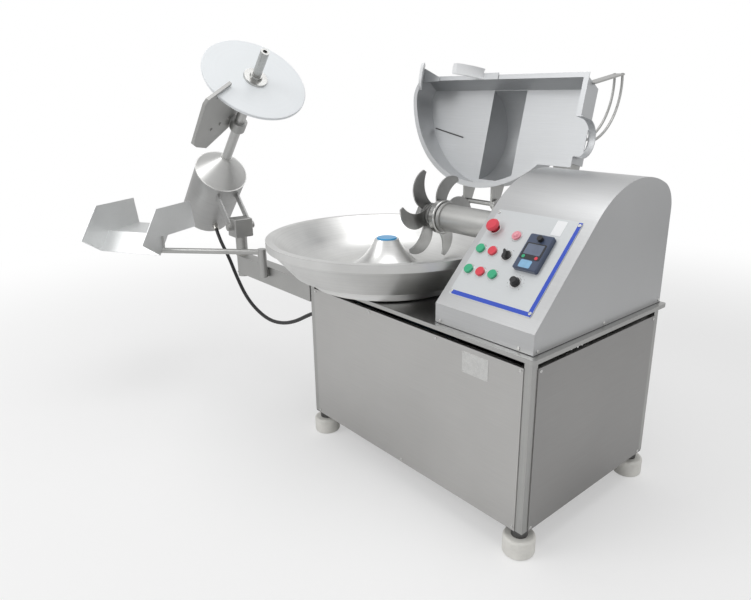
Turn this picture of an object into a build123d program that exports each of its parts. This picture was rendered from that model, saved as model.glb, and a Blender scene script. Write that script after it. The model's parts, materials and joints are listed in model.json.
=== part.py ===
"""Bowl cutter: a cabinet with a turning bowl, a driven knife head, a lid, an unloading disc and a chute.

Everything is modelled from the cabinet's front left bottom corner, with X to the right, Y to the back
and Z up.  write() then moves each piece so that the origin is on the floor, under the front left foot.
Sizes are in millimetres and angles in degrees.
"""
import math
import os

from build123d import *

os.makedirs("parts", exist_ok=True)

# how far a cut runs past the face it leaves by
past = 1.0

# ---- cabinet ----------------------------------------------------------------------------------
cabinet_length = 1068.0
cabinet_depth = 707.0
panel_height = 527.0
panel_gap_height = 25.0
panel_end_gap = 29.3
panel_wall = 2.0
panel_fold = 15.0
post_setback = 3.0
post_side = 26.0
tube_wall = 3.0
rail_setback = 18.0
floor_wall = 3.0
table_lip = 13.4
table_overhang = 14.3
table_wall = 3.0
table_corner = 10.0
screw_inset = 10.0
screw_head_radius = 5.5
screw_head_height = 2.4
vent_count = 9
vent_length = 150.0
vent_width = 6.0
vent_pitch = 16.0
belt_slot_margin = 8.0
belt_slot_side = 18.0

# ---- feet -------------------------------------------------------------------------------------
foot_inset = 34.0
foot_height = 90.0
pad_radius = 50.0
pad_height = 62.0
pad_round = 8.0
stem_radius = 26.0
stem_depth = 22.0
stem_plate_side = 60.0
stem_plate_height = 5.0

# ---- hood and control panel -------------------------------------------------------------------
hood_length = 373.2
hood_right_inset = 7.1
hood_front = 9.1
hood_back_rise = 5.0
hood_wall = 3.0
hood_lip = 63.0
slope_angle = 45.7
slope_length = 379.3
crown_back = 190.0
roof_fall = 20.0
eave_radius = 100.0
plate_left = 26.0
plate_low = 42.0
plate_width = 309.0
plate_length = 324.0
plate_wall = 2.0
plate_corner = 6.0
bezel_radius = 19.0
bezel_height = 3.0
barrel_wall = 1.2
barrel_depth = 26.0
cap_radius = 15.0
cap_rise = 6.0
cap_depth = 12.0
cap_gap = 0.35
switch_side = 30.0
switch_depth = 34.0
e_stop_place = (56.0, 293.0)
e_stop_radius = 21.5
e_stop_rise = 26.0
e_stop_stem = 10.0
e_stop_skirt = 15.0
e_stop_edge = 12.0
e_stop_brim = 5.0
e_stop_crown = 4.0
lamp_place = (147.0, 282.0)
lamp_radius = 11.0
lamp_collar_radius = 14.0
lamp_collar_height = 4.0
green_places = ((48.0, 214.0), (49.0, 137.0), (143.0, 138.0))
red_places = ((96.0, 214.0), (96.0, 137.0))
selector_place = (152.0, 210.0)
selector_lean = 30.0
knob_base_rise = 4.0
lever_width = 8.0
lever_rise = 12.0
speed_knob_rise = 14.0
speed_knob_low_radius = 13.0
speed_knob_top_radius = 10.0
speed_knob_place = (232.0, 132.0)
keypad_left = 200.0
keypad_low = 172.0
keypad_width = 84.0
keypad_length = 123.0
keypad_rise = 16.0
dial_place = (246.0, 276.0)
dial_radius = 9.0
dial_rise = 12.0
dial_chamfer = 1.0
plate_screw_side = 7.0
plate_screw_end = 12.0

# ---- bowl -------------------------------------------------------------------------------------
bowl_hood_gap = 14.7
bowl_back = 503.0
bowl_rim_z = 740.0
bowl_radius = 445.0
bowl_band = 28.0
bowl_band_step = 9.0
bowl_land = 24.0
trough_radius = 184.0
trough_centre_r = 218.0
trough_centre_rise = 52.0
trough_outer_r = 350.0
cone_top_r = 46.0
bowl_wall = 8.0
bowl_shoulder_r = 352.0
bowl_shoulder_drop = 126.0
foot_ring_outer = 285.0
foot_ring_inner = 262.0
foot_ring_lift = 6.0
hub_radius = 60.0
hub_drop = 75.0
cap_disc_radius = 38.0
cap_disc_height = 5.0
spindle_radius = 30.0
spindle_flange = 12.0
spindle_bottom = 330.0
spindle_depth = 110.0
housing_radius = 62.0
housing_flange_radius = 95.0
housing_flange = 10.0
housing_top = 640.0
housing_bottom = 450.0
bearing_radius = 45.0
bearing_height = 22.0
running_gap = 0.05
gearbox_side = 170.0
gearbox_height = 120.0
gear_motor_radius = 70.0
gear_motor_length = 210.0
gearbox_round = 10.0
gearbox_bracket_wall = 10.0
bearing_inset = 6.0

# ---- knife head -------------------------------------------------------------------------------
knife_back = 216.0
knife_z = 792.0
knife_radius = 176.0
knife_wall = 6.0
knife_pitch = 13.0
knife_angles = (113.0, 245.0, 181.0, 301.0, 66.0, 14.0)
knife_eye_radius = 46.0
spacer_radius = 42.0
flange_radius = 66.0
flange_wall = 26.0
flange_reach = 68.0
nut_radius = 40.0
nut_length = 24.0
shaft_tip = 6.0
shaft_chamfer = 3.0
flange_round = 6.0
knife_root_out = 37.0
knife_root_front = 23.0
knife_root_back = -28.0
knife_bow_front = (127.0, 35.0)
knife_bow_back = (102.0, -18.0)
knife_tip_lag = 14.0
knife_tip_width = (13.0, 8.0)
shaft_radius = 30.0
shaft_overhang = 9.0
arm_radius = 52.0
arm_bore = 45.0
arm_gap = 3.0
arm_ring_radius = 58.0
arm_ring_length = 15.0
arm_relief = 48.0
arm_relief_length = 130.0
pedestal_length = 140.0
pulley_gap = 25.0
pedestal_base = 170.0
pedestal_top = 70.0
pulley_side = 73.0
pulley_length = 90.0
knife_pulley_radius = 80.0
motor_pulley_radius = 100.0
groove_count = 4
groove_width = 14.0
groove_depth = 10.0
belt_gap = 0.6
belt_wall = 9.0
belt_width = 12.0
motor_z = 170.0
motor_radius = 110.0
motor_length = 390.0
motor_shaft_radius = 19.0
motor_foot_height = 62.0
motor_foot_inset = 70.0
motor_foot_half = 90.0
motor_round = 12.0
motor_shaft_depth = 60.0
motor_fin_count = 18
motor_fin_length = 230.0
motor_fin_gap = 6.0
motor_fin_depth = 7.0
terminal_box_start = 120.0
terminal_box_end = 140.0
terminal_box_reach = 50.0
terminal_box_half = 45.0

# ---- lid --------------------------------------------------------------------------------------
lid_open_angle = 103.2
hinge_back = 9.0
hinge_z = 808.0
lid_rim_gap = 8.0
lid_front_back = 3.0
lid_side_gap = 27.7
lid_step_back = 323.0
lid_radius = 440.0
lid_corner = 80.0
lid_depth = 104.0
lid_slant = 35.0
lid_wall = 3.0
lid_flange = 18.0
hump_radius = 198.0
lid_cover_shift = 12.0
hump_reach = (-63.0, 115.0)
collar_radius = 70.0
collar_gap = 3.2
hinge_pin_radius = 10.0
hinge_boss_radius = 22.0
hinge_arm_wall = 10.0
hinge_arm_low = 14.0
hinge_arm_high = 6.0
hinge_arm_root = 26.0
box_arm_inset = 8.0
ear_wall = 12.0
ear_depth = 46.0
ear_gap = 0.5
left_ear_reach = (-84.0, 91.0)
right_ear_reach = (-107.7, -32.7)
stand_bar_drop = 42.0
stand_bar_radius = 9.0
stand_base = 10.0
stand_base_side = 10.0
stand_base_front = 20.0
stand_edge = 1.0
pin_proud = 4.0
handle_reach = (-28.0, 5.0)
handle_rod_radius = 5.0
handle_foot_back = 233.0
handle_foot_sink = 14.0
handle_crown_back = 93.0
handle_crown_rise = 138.0
handle_end_front = 57.0
handle_end_rise = 133.0
handle_strip_back = 25.0
handle_strip_drop = 52.0
handle_strip_wall = (5.6, 2.2)
handle_strip_side = 8.0
handle_strip_top = 4.0
flange_return_start = 128.0
scraper_gap = 4.0
scraper_wall = 12.0
scraper_bracket_wall = 4.0
wall_scraper_back = 8.0
wall_scraper_width = 106.0
wall_scraper_depth = 72.0
wall_scraper_round = 30.0
cone_scraper_across = (-170.0, -30.0)
cone_scraper_back = (-20.0, 22.0)
cone_scraper_depth = 96.0
wall_bracket_outline = ((-426.0, -24.0), (-398.0, -32.0), (-298.0, 8.0), (-298.0, 24.0), (-378.0, 28.0),
                        (-426.0, 24.0))
cone_bracket_across = (-62.0, 34.0)
cone_bracket_back = (-4.0, 22.0)

# ---- unloader ---------------------------------------------------------------------------------
post_x = -585.0
post_y = 28.0
post_radius = 25.0
post_bottom = 448.0
post_top = 632.0
beam_width = 56.0
beam_low = 466.0
beam_high = 546.0
beam_wall = 4.0
beam_foot_depth = 120.0
beam_foot_wall = 8.0
spigot_end_gap = 4.0
spigot_radius = 18.0
spigot_length = 70.0
swing_at_rest = -3.0
block_length = 80.0
block_width = 84.0
block_height = 82.0
block_gap = 0.3
tilt_z = 678.0
tilt_at_rest = 43.9
tilt_bolt_radius = 10.0
tilt_head_radius = 16.0
tilt_head_height = 11.0
block_chamfer = 3.0
link_wall = 8.0
link_width = 32.0
link_gap = 0.4
disc_axis_rise = 273.6
casing_radius = 114.0
casing_rim_x = 41.4
casing_length = 330.0
casing_wall = 3.0
casing_round = 24.0
disc_motor_start = 50.0
disc_motor_radius = 62.0
disc_motor_flange = 12.0
disc_motor_bore = 80.0
cone_rim_radius = 116.0
cone_rim_width = 5.0
cone_rim_step = 4.0
cone_wall = 8.0
cone_neck = 9.0
cone_neck_wall = 2.0
cone_tip_wall = 12.0
cone_length = 100.0
cone_tip_radius = 22.0
tube_radius = 20.0
tube_bore = 15.4
disc_x = 602.0
disc_radius = 205.0
disc_wall = 12.0
disc_shaft_radius = 15.0
disc_stub_radius = 17.0
disc_stub_length = 134.0
disc_hub_radius = 48.0
disc_hub_wall = 8.0
disc_hub_bevel = 2.0
disc_gap = 6.0
disc_nut_radius = 25.0
disc_nut_height = 12.0
disc_nut_bevel = 2.0
stub_bore_radius = 8.5
stub_bore_depth = 24.0
shaft_end_gap = 4.0
blade_angle = -145.0
blade_offset = 38.0
blade_wall = 12.0
blade_gap = 4.0
blade_reach = 282.0
blade_lip = 12.0
blade_corner = (4.0, 14.0)
blade_near = 120.0
blade_low = -30.0
blade_toe = 34.0
seam_low = 396.0
seam_high = 439.0
carrier_top = 400.0
carrier_corner = (365.0, 30.0)
carrier_shoulder = (292.0, 122.0)
carrier_heel = 322.0
clamp_start = 330.0
clamp_end = 376.0
clamp_wall = 12.0
clamp_half = 14.0
carrier_bolt_shares = (0.25, 0.45, 0.65)
carrier_bolt_inset = 12.0
carrier_bolt_radius = 6.0
carrier_bolt_height = 5.0

# ---- chute ------------------------------------------------------------------------------------
chute_x = -318.0
chute_y = -20.0
boss_radius = 18.0
boss_low = 504.0
boss_high = 596.0
boss_web_wall = 12.0
boss_web_low = 506.0
boss_floor = 16.0
chute_pin_radius = 9.0
chute_bar_radius = 11.5
chute_bar_z = 612.0
tray_x = -773.0
tray_y = -359.0
tray_z = 673.0
tray_turn = 31.7
tray_width = 301.0
tray_back = 199.0
tray_front = 99.0
tray_bend = 50.0
tray_side = 117.0
tray_wall = 3.0
tray_side_slope = 19.0
tray_front_cut = (10.0, 12.0)
bar_inset = 6.0
rib_wall = 6.0
rib_overlap = 10.0
bar_cap = 2.0

# ---- cable ------------------------------------------------------------------------------------
cable_radius = 8.0
gland_radius = 13.0
gland_length = 26.0
casing_gland_x = -219.0
casing_gland_angle = -94.4
cabinet_gland_y = 60.0
cabinet_gland_z = 387.0
gland_wall = 8.0
hole_gap = 1.0
exit_run = 62.0
cable_middle = ((-730.0, 30.0, 506.0), (-680.0, 36.0, 420.0), (-613.0, 41.0, 337.0), (-520.0, 44.0, 288.0),
                (-410.0, 47.0, 266.0), (-299.0, 51.0, 281.0), (-200.0, 54.0, 318.0), (-118.0, 57.0, 363.0))
cable_last_run = 44.0

# ---- values that follow -----------------------------------------------------------------------
table_top_z = panel_height + panel_gap_height + table_lip
table_under_z = table_top_z - table_wall
hood_right = cabinet_length - hood_right_inset
hood_left = hood_right - hood_length
hood_back = cabinet_depth + hood_back_rise
crown_y = cabinet_depth - crown_back
bowl_x = hood_left - bowl_hood_gap - bowl_radius
bowl_y = cabinet_depth - bowl_back
knife_y = bowl_y + knife_back
flange_x = bowl_x + flange_reach
arm_start = flange_x + flange_wall + arm_gap
pulley_end = cabinet_length - pulley_side
pulley_start = pulley_end - pulley_length
shaft_end = pulley_end + shaft_overhang
pedestal_end = pulley_start - pulley_gap
pedestal_start = pedestal_end - pedestal_length
motor_end = pulley_start - pulley_gap
motor_start = motor_end - motor_length
hinge_y = cabinet_depth + hinge_back
lid_front = bowl_y + lid_front_back
lid_right = hood_left - lid_side_gap
lid_step_y = bowl_y + lid_step_back
collar_right = hood_left - collar_gap
bowl_bottom_z = table_top_z + foot_ring_lift
lid_rim_z = bowl_rim_z + lid_rim_gap
lid_top_z = lid_rim_z + lid_depth


def write(name, *pieces):
    """Moves the origin under the front left foot and saves one node."""
    place = Pos(-foot_inset, -foot_inset, foot_height)
    solids = [solid for piece in pieces for solid in piece.solids()]
    moved = [place * solid for solid in solids]
    export_step(moved[0] if len(moved) == 1 else Compound(moved), f"parts/{name}.step")


def block(x0, x1, y0, y1, z0, z1):
    """A box between two opposite corners."""
    return Pos((x0 + x1) / 2, (y0 + y1) / 2, (z0 + z1) / 2) * Box(x1 - x0, y1 - y0, z1 - z0)


def rod_x(x0, x1, y, z, radius):
    return Pos((x0 + x1) / 2, y, z) * Rot(0, 90, 0) * Cylinder(radius, x1 - x0)


def rod_y(x, y0, y1, z, radius):
    return Pos(x, (y0 + y1) / 2, z) * Rot(90, 0, 0) * Cylinder(radius, y1 - y0)


def rod_z(x, y, z0, z1, radius):
    return Pos(x, y, (z0 + z1) / 2) * Cylinder(radius, z1 - z0)


def plate_x(points, x0, x1):
    """A prism along X whose outline is a list of (y, z) corners."""
    return extrude(Plane.YZ.offset(x0) * make_face(Polyline(*points, close=True)), x1 - x0)


def plate_y(points, y0, y1):
    """A prism along Y whose outline is a list of (x, z) corners."""
    return extrude(Plane.XZ.offset(-y0) * make_face(Polyline(*points, close=True)), -(y1 - y0))


def turned(points, x=0.0, y=0.0):
    """A solid of revolution about a vertical axis, from a list of (radius, z) corners."""
    return Pos(x, y, 0) * revolve(Plane.XZ * make_face(Polyline(*points, close=True)), Axis.Z)


# ---- cabinet: welded frame of tubes -----------------------------------------------------------
post_near = post_setback
rail_low = (floor_wall, floor_wall + post_side)
rail_high = (table_under_z - post_side, table_under_z)


def square_tube(x0, x1, y0, y1, z0, z1, along):
    """A square tube with open ends that runs along the named axis."""
    inner = [x0 + tube_wall, x1 - tube_wall, y0 + tube_wall, y1 - tube_wall, z0 + tube_wall, z1 - tube_wall]
    first = "XYZ".index(along) * 2
    inner[first] -= 2 * tube_wall
    inner[first + 1] += 2 * tube_wall
    return block(x0, x1, y0, y1, z0, z1) - block(*inner)


frame_tubes = []
post_xs = (post_near, cabinet_length - post_near - post_side)
post_ys = (post_near, cabinet_depth - post_near - post_side)
for left in post_xs:
    for front in post_ys:
        frame_tubes.append(square_tube(left, left + post_side, front, front + post_side, 0, table_under_z,
                                       "Z"))
for bottom, top in (rail_low, rail_high):
    for front in (rail_setback, cabinet_depth - rail_setback - post_side):
        ends = (post_near + post_side, cabinet_length - post_near - post_side)
        frame_tubes.append(square_tube(*ends, front, front + post_side, bottom, top, "X"))
    for left in (rail_setback, cabinet_length - rail_setback - post_side):
        ends = (rail_setback + post_side, cabinet_depth - rail_setback - post_side)
        frame_tubes.append(square_tube(left, left + post_side, *ends, bottom, top, "Y"))
write("cabinet_frame", *frame_tubes)

floor_edge = rail_setback
floor_pan = block(floor_edge, cabinet_length - floor_edge, floor_edge, cabinet_depth - floor_edge,
                  0, floor_wall)
for left in post_xs:
    for front in post_ys:
        floor_pan -= block(left - past, left + post_side + past, front - past, front + post_side + past,
                           -past, floor_wall + past)
write("floor_pan", floor_pan)


# ---- cabinet: four folded panels --------------------------------------------------------------
def folded_panel(length):
    """A tray of sheet that stands on XZ, with its outer face on Y = 0 and its folds behind it."""
    tray = block(0, length, 0, panel_fold, 0, panel_height)
    return tray - block(panel_wall, length - panel_wall, panel_wall, panel_fold + past,
                        panel_wall, panel_height - panel_wall)


long_panel = folded_panel(cabinet_length - 2 * panel_end_gap)
short_panel = folded_panel(cabinet_depth - 2 * panel_end_gap)
front_panel = Pos(panel_end_gap, 0, 0) * long_panel
rear_panel = Pos(cabinet_length - panel_end_gap, cabinet_depth, 0) * Rot(0, 0, 180) * long_panel
right_panel = Pos(cabinet_length, panel_end_gap, 0) * Rot(0, 0, 90) * short_panel
left_panel = Pos(0, cabinet_depth - panel_end_gap, 0) * Rot(0, 0, -90) * short_panel
left_panel -= rod_x(-past, panel_fold + past, cabinet_gland_y, cabinet_gland_z, cable_radius + hole_gap)
vent_low = panel_height / 2
for column in (cabinet_length / 3, 2 * cabinet_length / 3):
    for row in range(vent_count):
        slot_z = vent_low + row * vent_pitch
        slot = SlotOverall(vent_length, vent_width)
        cut_y = cabinet_depth + past
        rear_panel -= extrude(Plane.XZ.offset(-cut_y) * Pos(column, slot_z) * slot, panel_wall + 2 * past)
write("front_panel", front_panel)
write("rear_panel", rear_panel)
write("right_panel", right_panel)
write("left_panel", left_panel)

# ---- table top and the openings in it ---------------------------------------------------------
slot_half = motor_pulley_radius + belt_slot_side
table_outline = Rectangle(cabinet_length + 2 * table_overhang, cabinet_depth + 2 * table_overhang)
table_outline = fillet(table_outline.vertices(), table_corner)
table_middle = Pos(cabinet_length / 2, cabinet_depth / 2, table_top_z - table_lip)
table_top = table_middle * extrude(table_outline, table_lip)
table_top -= table_middle * extrude(offset(table_outline, -table_wall), table_lip - table_wall)
table_top -= rod_z(bowl_x, bowl_y, table_under_z - past, table_top_z + past, housing_radius)
belt_slot = (pulley_start - belt_slot_margin, pulley_start + pulley_length + belt_slot_margin)
table_top -= block(*belt_slot, knife_y - slot_half, knife_y + slot_half,
                   table_under_z - past, table_top_z + past)
write("table_top", table_top)

# ---- feet -------------------------------------------------------------------------------------
foot_places = [(x, y) for x in (foot_inset, cabinet_length - foot_inset)
               for y in (foot_inset, cabinet_depth - foot_inset)]
pad_top = pad_height - foot_height
foot_pads = []
foot_stems = []
for x, y in foot_places:
    pad = rod_z(x, y, -foot_height, pad_top, pad_radius)
    pad = fillet(pad.edges().filter_by(GeomType.CIRCLE), pad_round)
    foot_pads.append(pad - rod_z(x, y, pad_top - stem_depth, pad_top + past, stem_radius))
    stem = rod_z(x, y, pad_top - stem_depth, -stem_plate_height, stem_radius)
    plate_half = stem_plate_side / 2
    stem += block(x - plate_half, x + plate_half, y - plate_half, y + plate_half, -stem_plate_height, 0)
    foot_stems.append(stem)
write("foot_pads", *foot_pads)
write("foot_stems", *foot_stems)


# ---- hood: sloped front, round crown, falling roof --------------------------------------------
slope = math.radians(slope_angle)
fall = math.radians(roof_fall)
crown_radius = (crown_y - hood_front - slope_length * math.cos(slope)) / math.sin(slope)
crown_z = table_top_z + hood_lip + (crown_y - hood_front) * math.tan(slope) - crown_radius / math.cos(slope)


def hood_face(inset, bottom):
    """The hood's section in YZ, made smaller on every side by inset."""
    radius = crown_radius - inset
    front = hood_front + inset
    back = hood_back - inset
    eave = eave_radius - inset
    touch = (crown_y - radius * math.sin(slope), crown_z + radius * math.cos(slope))
    crown = (crown_y - radius * math.sin(slope / 3), crown_z + radius * math.cos(slope / 3))
    roof = (crown_y + radius * math.sin(fall), crown_z + radius * math.cos(fall))
    lip = (front, touch[1] - (touch[0] - front) * math.tan(slope))
    corner_z = roof[1] - (back - roof[0]) * math.tan(fall)
    reach = eave * math.tan((math.pi / 2 - fall) / 2)
    eave_start = (back - reach * math.cos(fall), corner_z + reach * math.sin(fall))
    eave_end = (back, corner_z - reach)
    half_turn = (math.pi / 2 + fall) / 2
    eave_middle = (back - eave + eave * math.sin(half_turn), eave_end[1] + eave * math.cos(half_turn))
    outline = Line((front, bottom), lip) + Line(lip, touch) + ThreePointArc(touch, crown, roof)
    outline += Line(roof, eave_start) + ThreePointArc(eave_start, eave_middle, eave_end)
    outline += Line(eave_end, (back, bottom)) + Line((back, bottom), (front, bottom))
    return make_face(outline)


hood = extrude(Plane.YZ.offset(hood_left) * hood_face(0, table_top_z), hood_right - hood_left)
hood_inside = Plane.YZ.offset(hood_left + hood_wall) * hood_face(hood_wall, table_top_z - past)
hood -= extrude(hood_inside, hood_right - hood_left - 2 * hood_wall)
hood -= rod_x(hood_left - past, hood_left + hood_wall + past, knife_y, knife_z, arm_radius + cap_gap)
panel_plane = Plane(origin=(hood_left, hood_front, table_top_z + hood_lip), x_dir=(1, 0, 0),
                    z_dir=(0, -math.sin(slope), math.cos(slope)))


def on_panel(place, height=0.0):
    """The location at (across, up the slope) on the control panel and height above the hood."""
    return panel_plane.location * Pos(place[0], place[1], height)


plate_middle = (plate_left + plate_width / 2, plate_low + plate_length / 2)
button_places = green_places + red_places
bezel_places = button_places + (e_stop_place, lamp_place, selector_place, speed_knob_place)
barrel_radius = cap_radius + cap_gap + barrel_wall
for place in bezel_places:
    hood -= on_panel(place) * Cylinder(barrel_radius + cap_gap, 4 * hood_wall)
write("hood", hood)

# ---- control plate, bezels and what is fixed in them ------------------------------------------
plate_face = RectangleRounded(plate_width, plate_length, plate_corner)
control_plate = on_panel(plate_middle) * extrude(plate_face, plate_wall)
for place in bezel_places:
    control_plate -= on_panel(place, plate_wall / 2) * Cylinder(barrel_radius, 2 * plate_wall)
write("control_plate", control_plate)

bezel_base = plate_wall + bezel_height / 2
barrel_length = barrel_depth + plate_wall + bezel_height
bezel = Pos(0, 0, bezel_base) * Cylinder(bezel_radius, bezel_height)
bezel = chamfer(bezel.edges().group_by(Axis.Z)[-1], bezel_height / 3)
bezel += Pos(0, 0, plate_wall + bezel_height - barrel_length / 2) * Cylinder(barrel_radius, barrel_length)
bezel -= Cylinder(cap_radius + cap_gap, 4 * barrel_length)
write("button_bezels", *[on_panel(place) * bezel for place in bezel_places])

switch = Pos(0, 0, -barrel_depth - switch_depth / 2) * Box(switch_side, switch_side, switch_depth)
write("switch_blocks", *[on_panel(place) * switch for place in bezel_places])

lamp_seat = plate_wall + bezel_height
lamp = Pos(0, 0, (lamp_seat - barrel_depth) / 2) * Cylinder(cap_radius + cap_gap, lamp_seat + barrel_depth)
lamp += Pos(0, 0, lamp_seat + lamp_collar_height / 2) * Cylinder(lamp_collar_radius, lamp_collar_height)
lamp += Pos(0, 0, lamp_seat + lamp_collar_height) * Sphere(lamp_radius, arc_size1=0)
write("signal_lamp", on_panel(lamp_place) * lamp)

keypad_middle = (keypad_left + keypad_width / 2, keypad_low + keypad_length / 2)
keypad = extrude(RectangleRounded(keypad_width, keypad_length, plate_corner), keypad_rise)
keypad = chamfer(keypad.edges().group_by(Axis.Z)[-1], keypad_rise / 5)
keypad = on_panel(keypad_middle, plate_wall) * keypad
dial_hole = on_panel(dial_place, plate_wall + keypad_rise)
keypad -= dial_hole * Cylinder(dial_radius / 2 + cap_gap, keypad_rise)
write("drive_keypad", keypad)

# ---- moving controls --------------------------------------------------------------------------
cap_top = plate_wall + bezel_height + cap_rise
cap_low = -cap_depth
button = Pos(0, 0, (cap_top + cap_low) / 2) * Cylinder(cap_radius, cap_top - cap_low)
button = fillet(button.edges().group_by(Axis.Z)[-1], cap_rise / 4)
for index, place in enumerate(green_places):
    write(f"green_button_{index + 1}", on_panel(place) * button)
for index, place in enumerate(red_places):
    write(f"red_button_{index + 1}", on_panel(place) * button)

e_stop_top = plate_wall + bezel_height + e_stop_rise
mushroom = turned([(0, cap_low), (e_stop_stem, cap_low), (e_stop_stem, e_stop_top - e_stop_skirt),
                   (e_stop_radius, e_stop_top - e_stop_edge), (e_stop_radius, e_stop_top - e_stop_brim),
                   (e_stop_radius - e_stop_crown, e_stop_top), (0, e_stop_top)])
write("emergency_stop", on_panel(e_stop_place) * mushroom)

selector_top = plate_wall + bezel_height + knob_base_rise
selector = Pos(0, 0, (selector_top + cap_low) / 2) * Cylinder(cap_radius, selector_top - cap_low)
lever = Pos(0, 0, selector_top) * extrude(SlotOverall(2 * cap_radius - 1, lever_width), lever_rise)
selector += Rot(0, 0, 90 + selector_lean) * lever
write("selector_knob", on_panel(selector_place) * selector)

speed_knob = Pos(0, 0, (selector_top + cap_low) / 2) * Cylinder(cap_radius, selector_top - cap_low)
standing = (Align.CENTER, Align.CENTER, Align.MIN)
speed_knob += Pos(0, 0, selector_top) * Cone(speed_knob_low_radius, speed_knob_top_radius, speed_knob_rise,
                                             align=standing)
write("speed_knob", on_panel(speed_knob_place) * speed_knob)

dial = Pos(0, 0, cap_gap) * Cylinder(dial_radius, dial_rise, align=standing)
dial = chamfer(dial.edges().group_by(Axis.Z)[-1], dial_chamfer)
dial_stem = keypad_rise / 2 - dial_chamfer
dial += Pos(0, 0, -dial_stem) * Cylinder(dial_radius / 2, dial_stem + dial_rise / 2, align=standing)
write("keypad_dial", dial_hole * dial)

# ---- screws on the covers ---------------------------------------------------------------------
cover_screw = Pos(0, 0, screw_head_height / 2) * Cylinder(screw_head_radius, screw_head_height)
cover_screw = fillet(cover_screw.edges().group_by(Axis.Z)[-1], screw_head_height * 0.6)
screws = []
screw_low = screw_inset
screw_high = panel_height - screw_inset
long_first = panel_end_gap + screw_inset
long_last = cabinet_length - long_first
short_last = cabinet_depth - long_first
long_span = long_last - long_first
for x in (long_first, long_first + long_span / 3, long_first + 2 * long_span / 3, long_last):
    screws.append(Pos(x, 0, screw_high) * Rot(90, 0, 0) * cover_screw)
    screws.append(Pos(x, cabinet_depth, screw_high) * Rot(-90, 0, 0) * cover_screw)
for x in (long_first, (long_first + long_last) / 2, long_last):
    screws.append(Pos(x, 0, screw_low) * Rot(90, 0, 0) * cover_screw)
    screws.append(Pos(x, cabinet_depth, screw_low) * Rot(-90, 0, 0) * cover_screw)
for y in (long_first, short_last):
    for z in (screw_low, screw_high):
        screws.append(Pos(cabinet_length, y, z) * Rot(0, 90, 0) * cover_screw)
for y, z in ((long_first, screw_low), (short_last, screw_low), (short_last, screw_high),
             (beam_foot_depth + 2 * screw_inset, screw_high)):
    screws.append(Pos(0, y, z) * Rot(0, -90, 0) * cover_screw)
for x in (hood_left + 2 * screw_inset, hood_right - 5 * screw_inset):
    screws.append(Pos(x, hood_front, table_top_z + screw_inset) * Rot(90, 0, 0) * cover_screw)
for y in (hood_front + 2 * screw_inset, (hood_front + hood_back) / 2, hood_back - screw_inset):
    screws.append(Pos(hood_right, y, table_top_z + screw_inset) * Rot(0, 90, 0) * cover_screw)
corner_half = (plate_width / 2 - plate_screw_side, plate_length / 2 - plate_screw_end)
for u in (-corner_half[0], corner_half[0]):
    for v in (-corner_half[1], corner_half[1]):
        place = (plate_middle[0] + u, plate_middle[1] + v)
        screws.append(on_panel(place, plate_wall) * cover_screw)
write("cover_screws", *screws)

# ---- bowl: a cast ring trough with a cone in the middle ---------------------------------------
trough_centre_z = bowl_rim_z + trough_centre_rise
trough_bottom_z = trough_centre_z - trough_radius
rim_inner_r = bowl_radius - bowl_land
under_radius = trough_radius + bowl_wall


def trough_z(r, radius=trough_radius):
    """Height of the trough's round surface at a distance r from the bowl's axis."""
    return trough_centre_z - math.sqrt(radius ** 2 - (r - trough_centre_r) ** 2)


wall_foot = (trough_outer_r, trough_z(trough_outer_r))
cone_top_z = trough_z(cone_top_r)
hub_bottom_z = bowl_rim_z - hub_drop
undercut_r = bowl_radius - bowl_band_step
shoulder = (bowl_shoulder_r, bowl_rim_z - bowl_shoulder_drop)
ring_top_z = trough_bottom_z - bowl_wall
ring_inner_top = (foot_ring_inner, trough_z(foot_ring_inner, under_radius))
hub_top = (hub_radius, trough_z(hub_radius, under_radius))
bowl_outline = Polyline((spindle_radius, cone_top_z), (cone_top_r, cone_top_z))
bowl_outline += ThreePointArc((cone_top_r, cone_top_z), (trough_centre_r, trough_bottom_z), wall_foot)
bowl_outline += Polyline(wall_foot, (rim_inner_r, bowl_rim_z), (bowl_radius, bowl_rim_z),
                         (bowl_radius, bowl_rim_z - bowl_band), (undercut_r, bowl_rim_z - bowl_band),
                         shoulder, (foot_ring_outer, ring_top_z), (foot_ring_outer, bowl_bottom_z),
                         (foot_ring_inner, bowl_bottom_z), ring_inner_top)
bowl_outline += ThreePointArc(ring_inner_top, (trough_centre_r, ring_top_z), hub_top)
bowl_outline += Polyline(hub_top, (hub_radius, hub_bottom_z), (spindle_radius, hub_bottom_z),
                         (spindle_radius, cone_top_z))
bowl = Pos(bowl_x, bowl_y, 0) * revolve(Plane.XZ * make_face(bowl_outline), Axis.Z)
write("bowl", bowl)
bowl_cap = rod_z(bowl_x, bowl_y, cone_top_z, cone_top_z + cap_disc_height, cap_disc_radius)
bowl_cap = fillet(bowl_cap.edges().group_by(Axis.Z)[-1], cap_disc_height / 2)
write("bowl_cap", bowl_cap)

# ---- bowl drive: spindle, bearing housing, worm gear unit -------------------------------------
spindle = rod_z(bowl_x, bowl_y, spindle_bottom, cone_top_z, spindle_radius)
spindle += rod_z(bowl_x, bowl_y, hub_bottom_z - spindle_flange, hub_bottom_z, hub_radius)
write("bowl_spindle", spindle)
housing = rod_z(bowl_x, bowl_y, housing_bottom, housing_top, housing_radius)
housing += rod_z(bowl_x, bowl_y, table_top_z, table_top_z + housing_flange, housing_flange_radius)
housing -= rod_z(bowl_x, bowl_y, housing_bottom - past, housing_top + past, bearing_radius)
write("bowl_bearing_housing", housing)
gearbox_top = spindle_bottom + spindle_depth
gearbox_half = gearbox_side / 2
gearbox_left = bowl_x - gearbox_half
gearbox_right = bowl_x + gearbox_half
gearbox = block(gearbox_left, gearbox_right, bowl_y - gearbox_half, bowl_y + gearbox_half,
                gearbox_top - gearbox_height, gearbox_top)
gearbox = fillet(gearbox.edges().filter_by(Axis.Z), gearbox_round)
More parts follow.
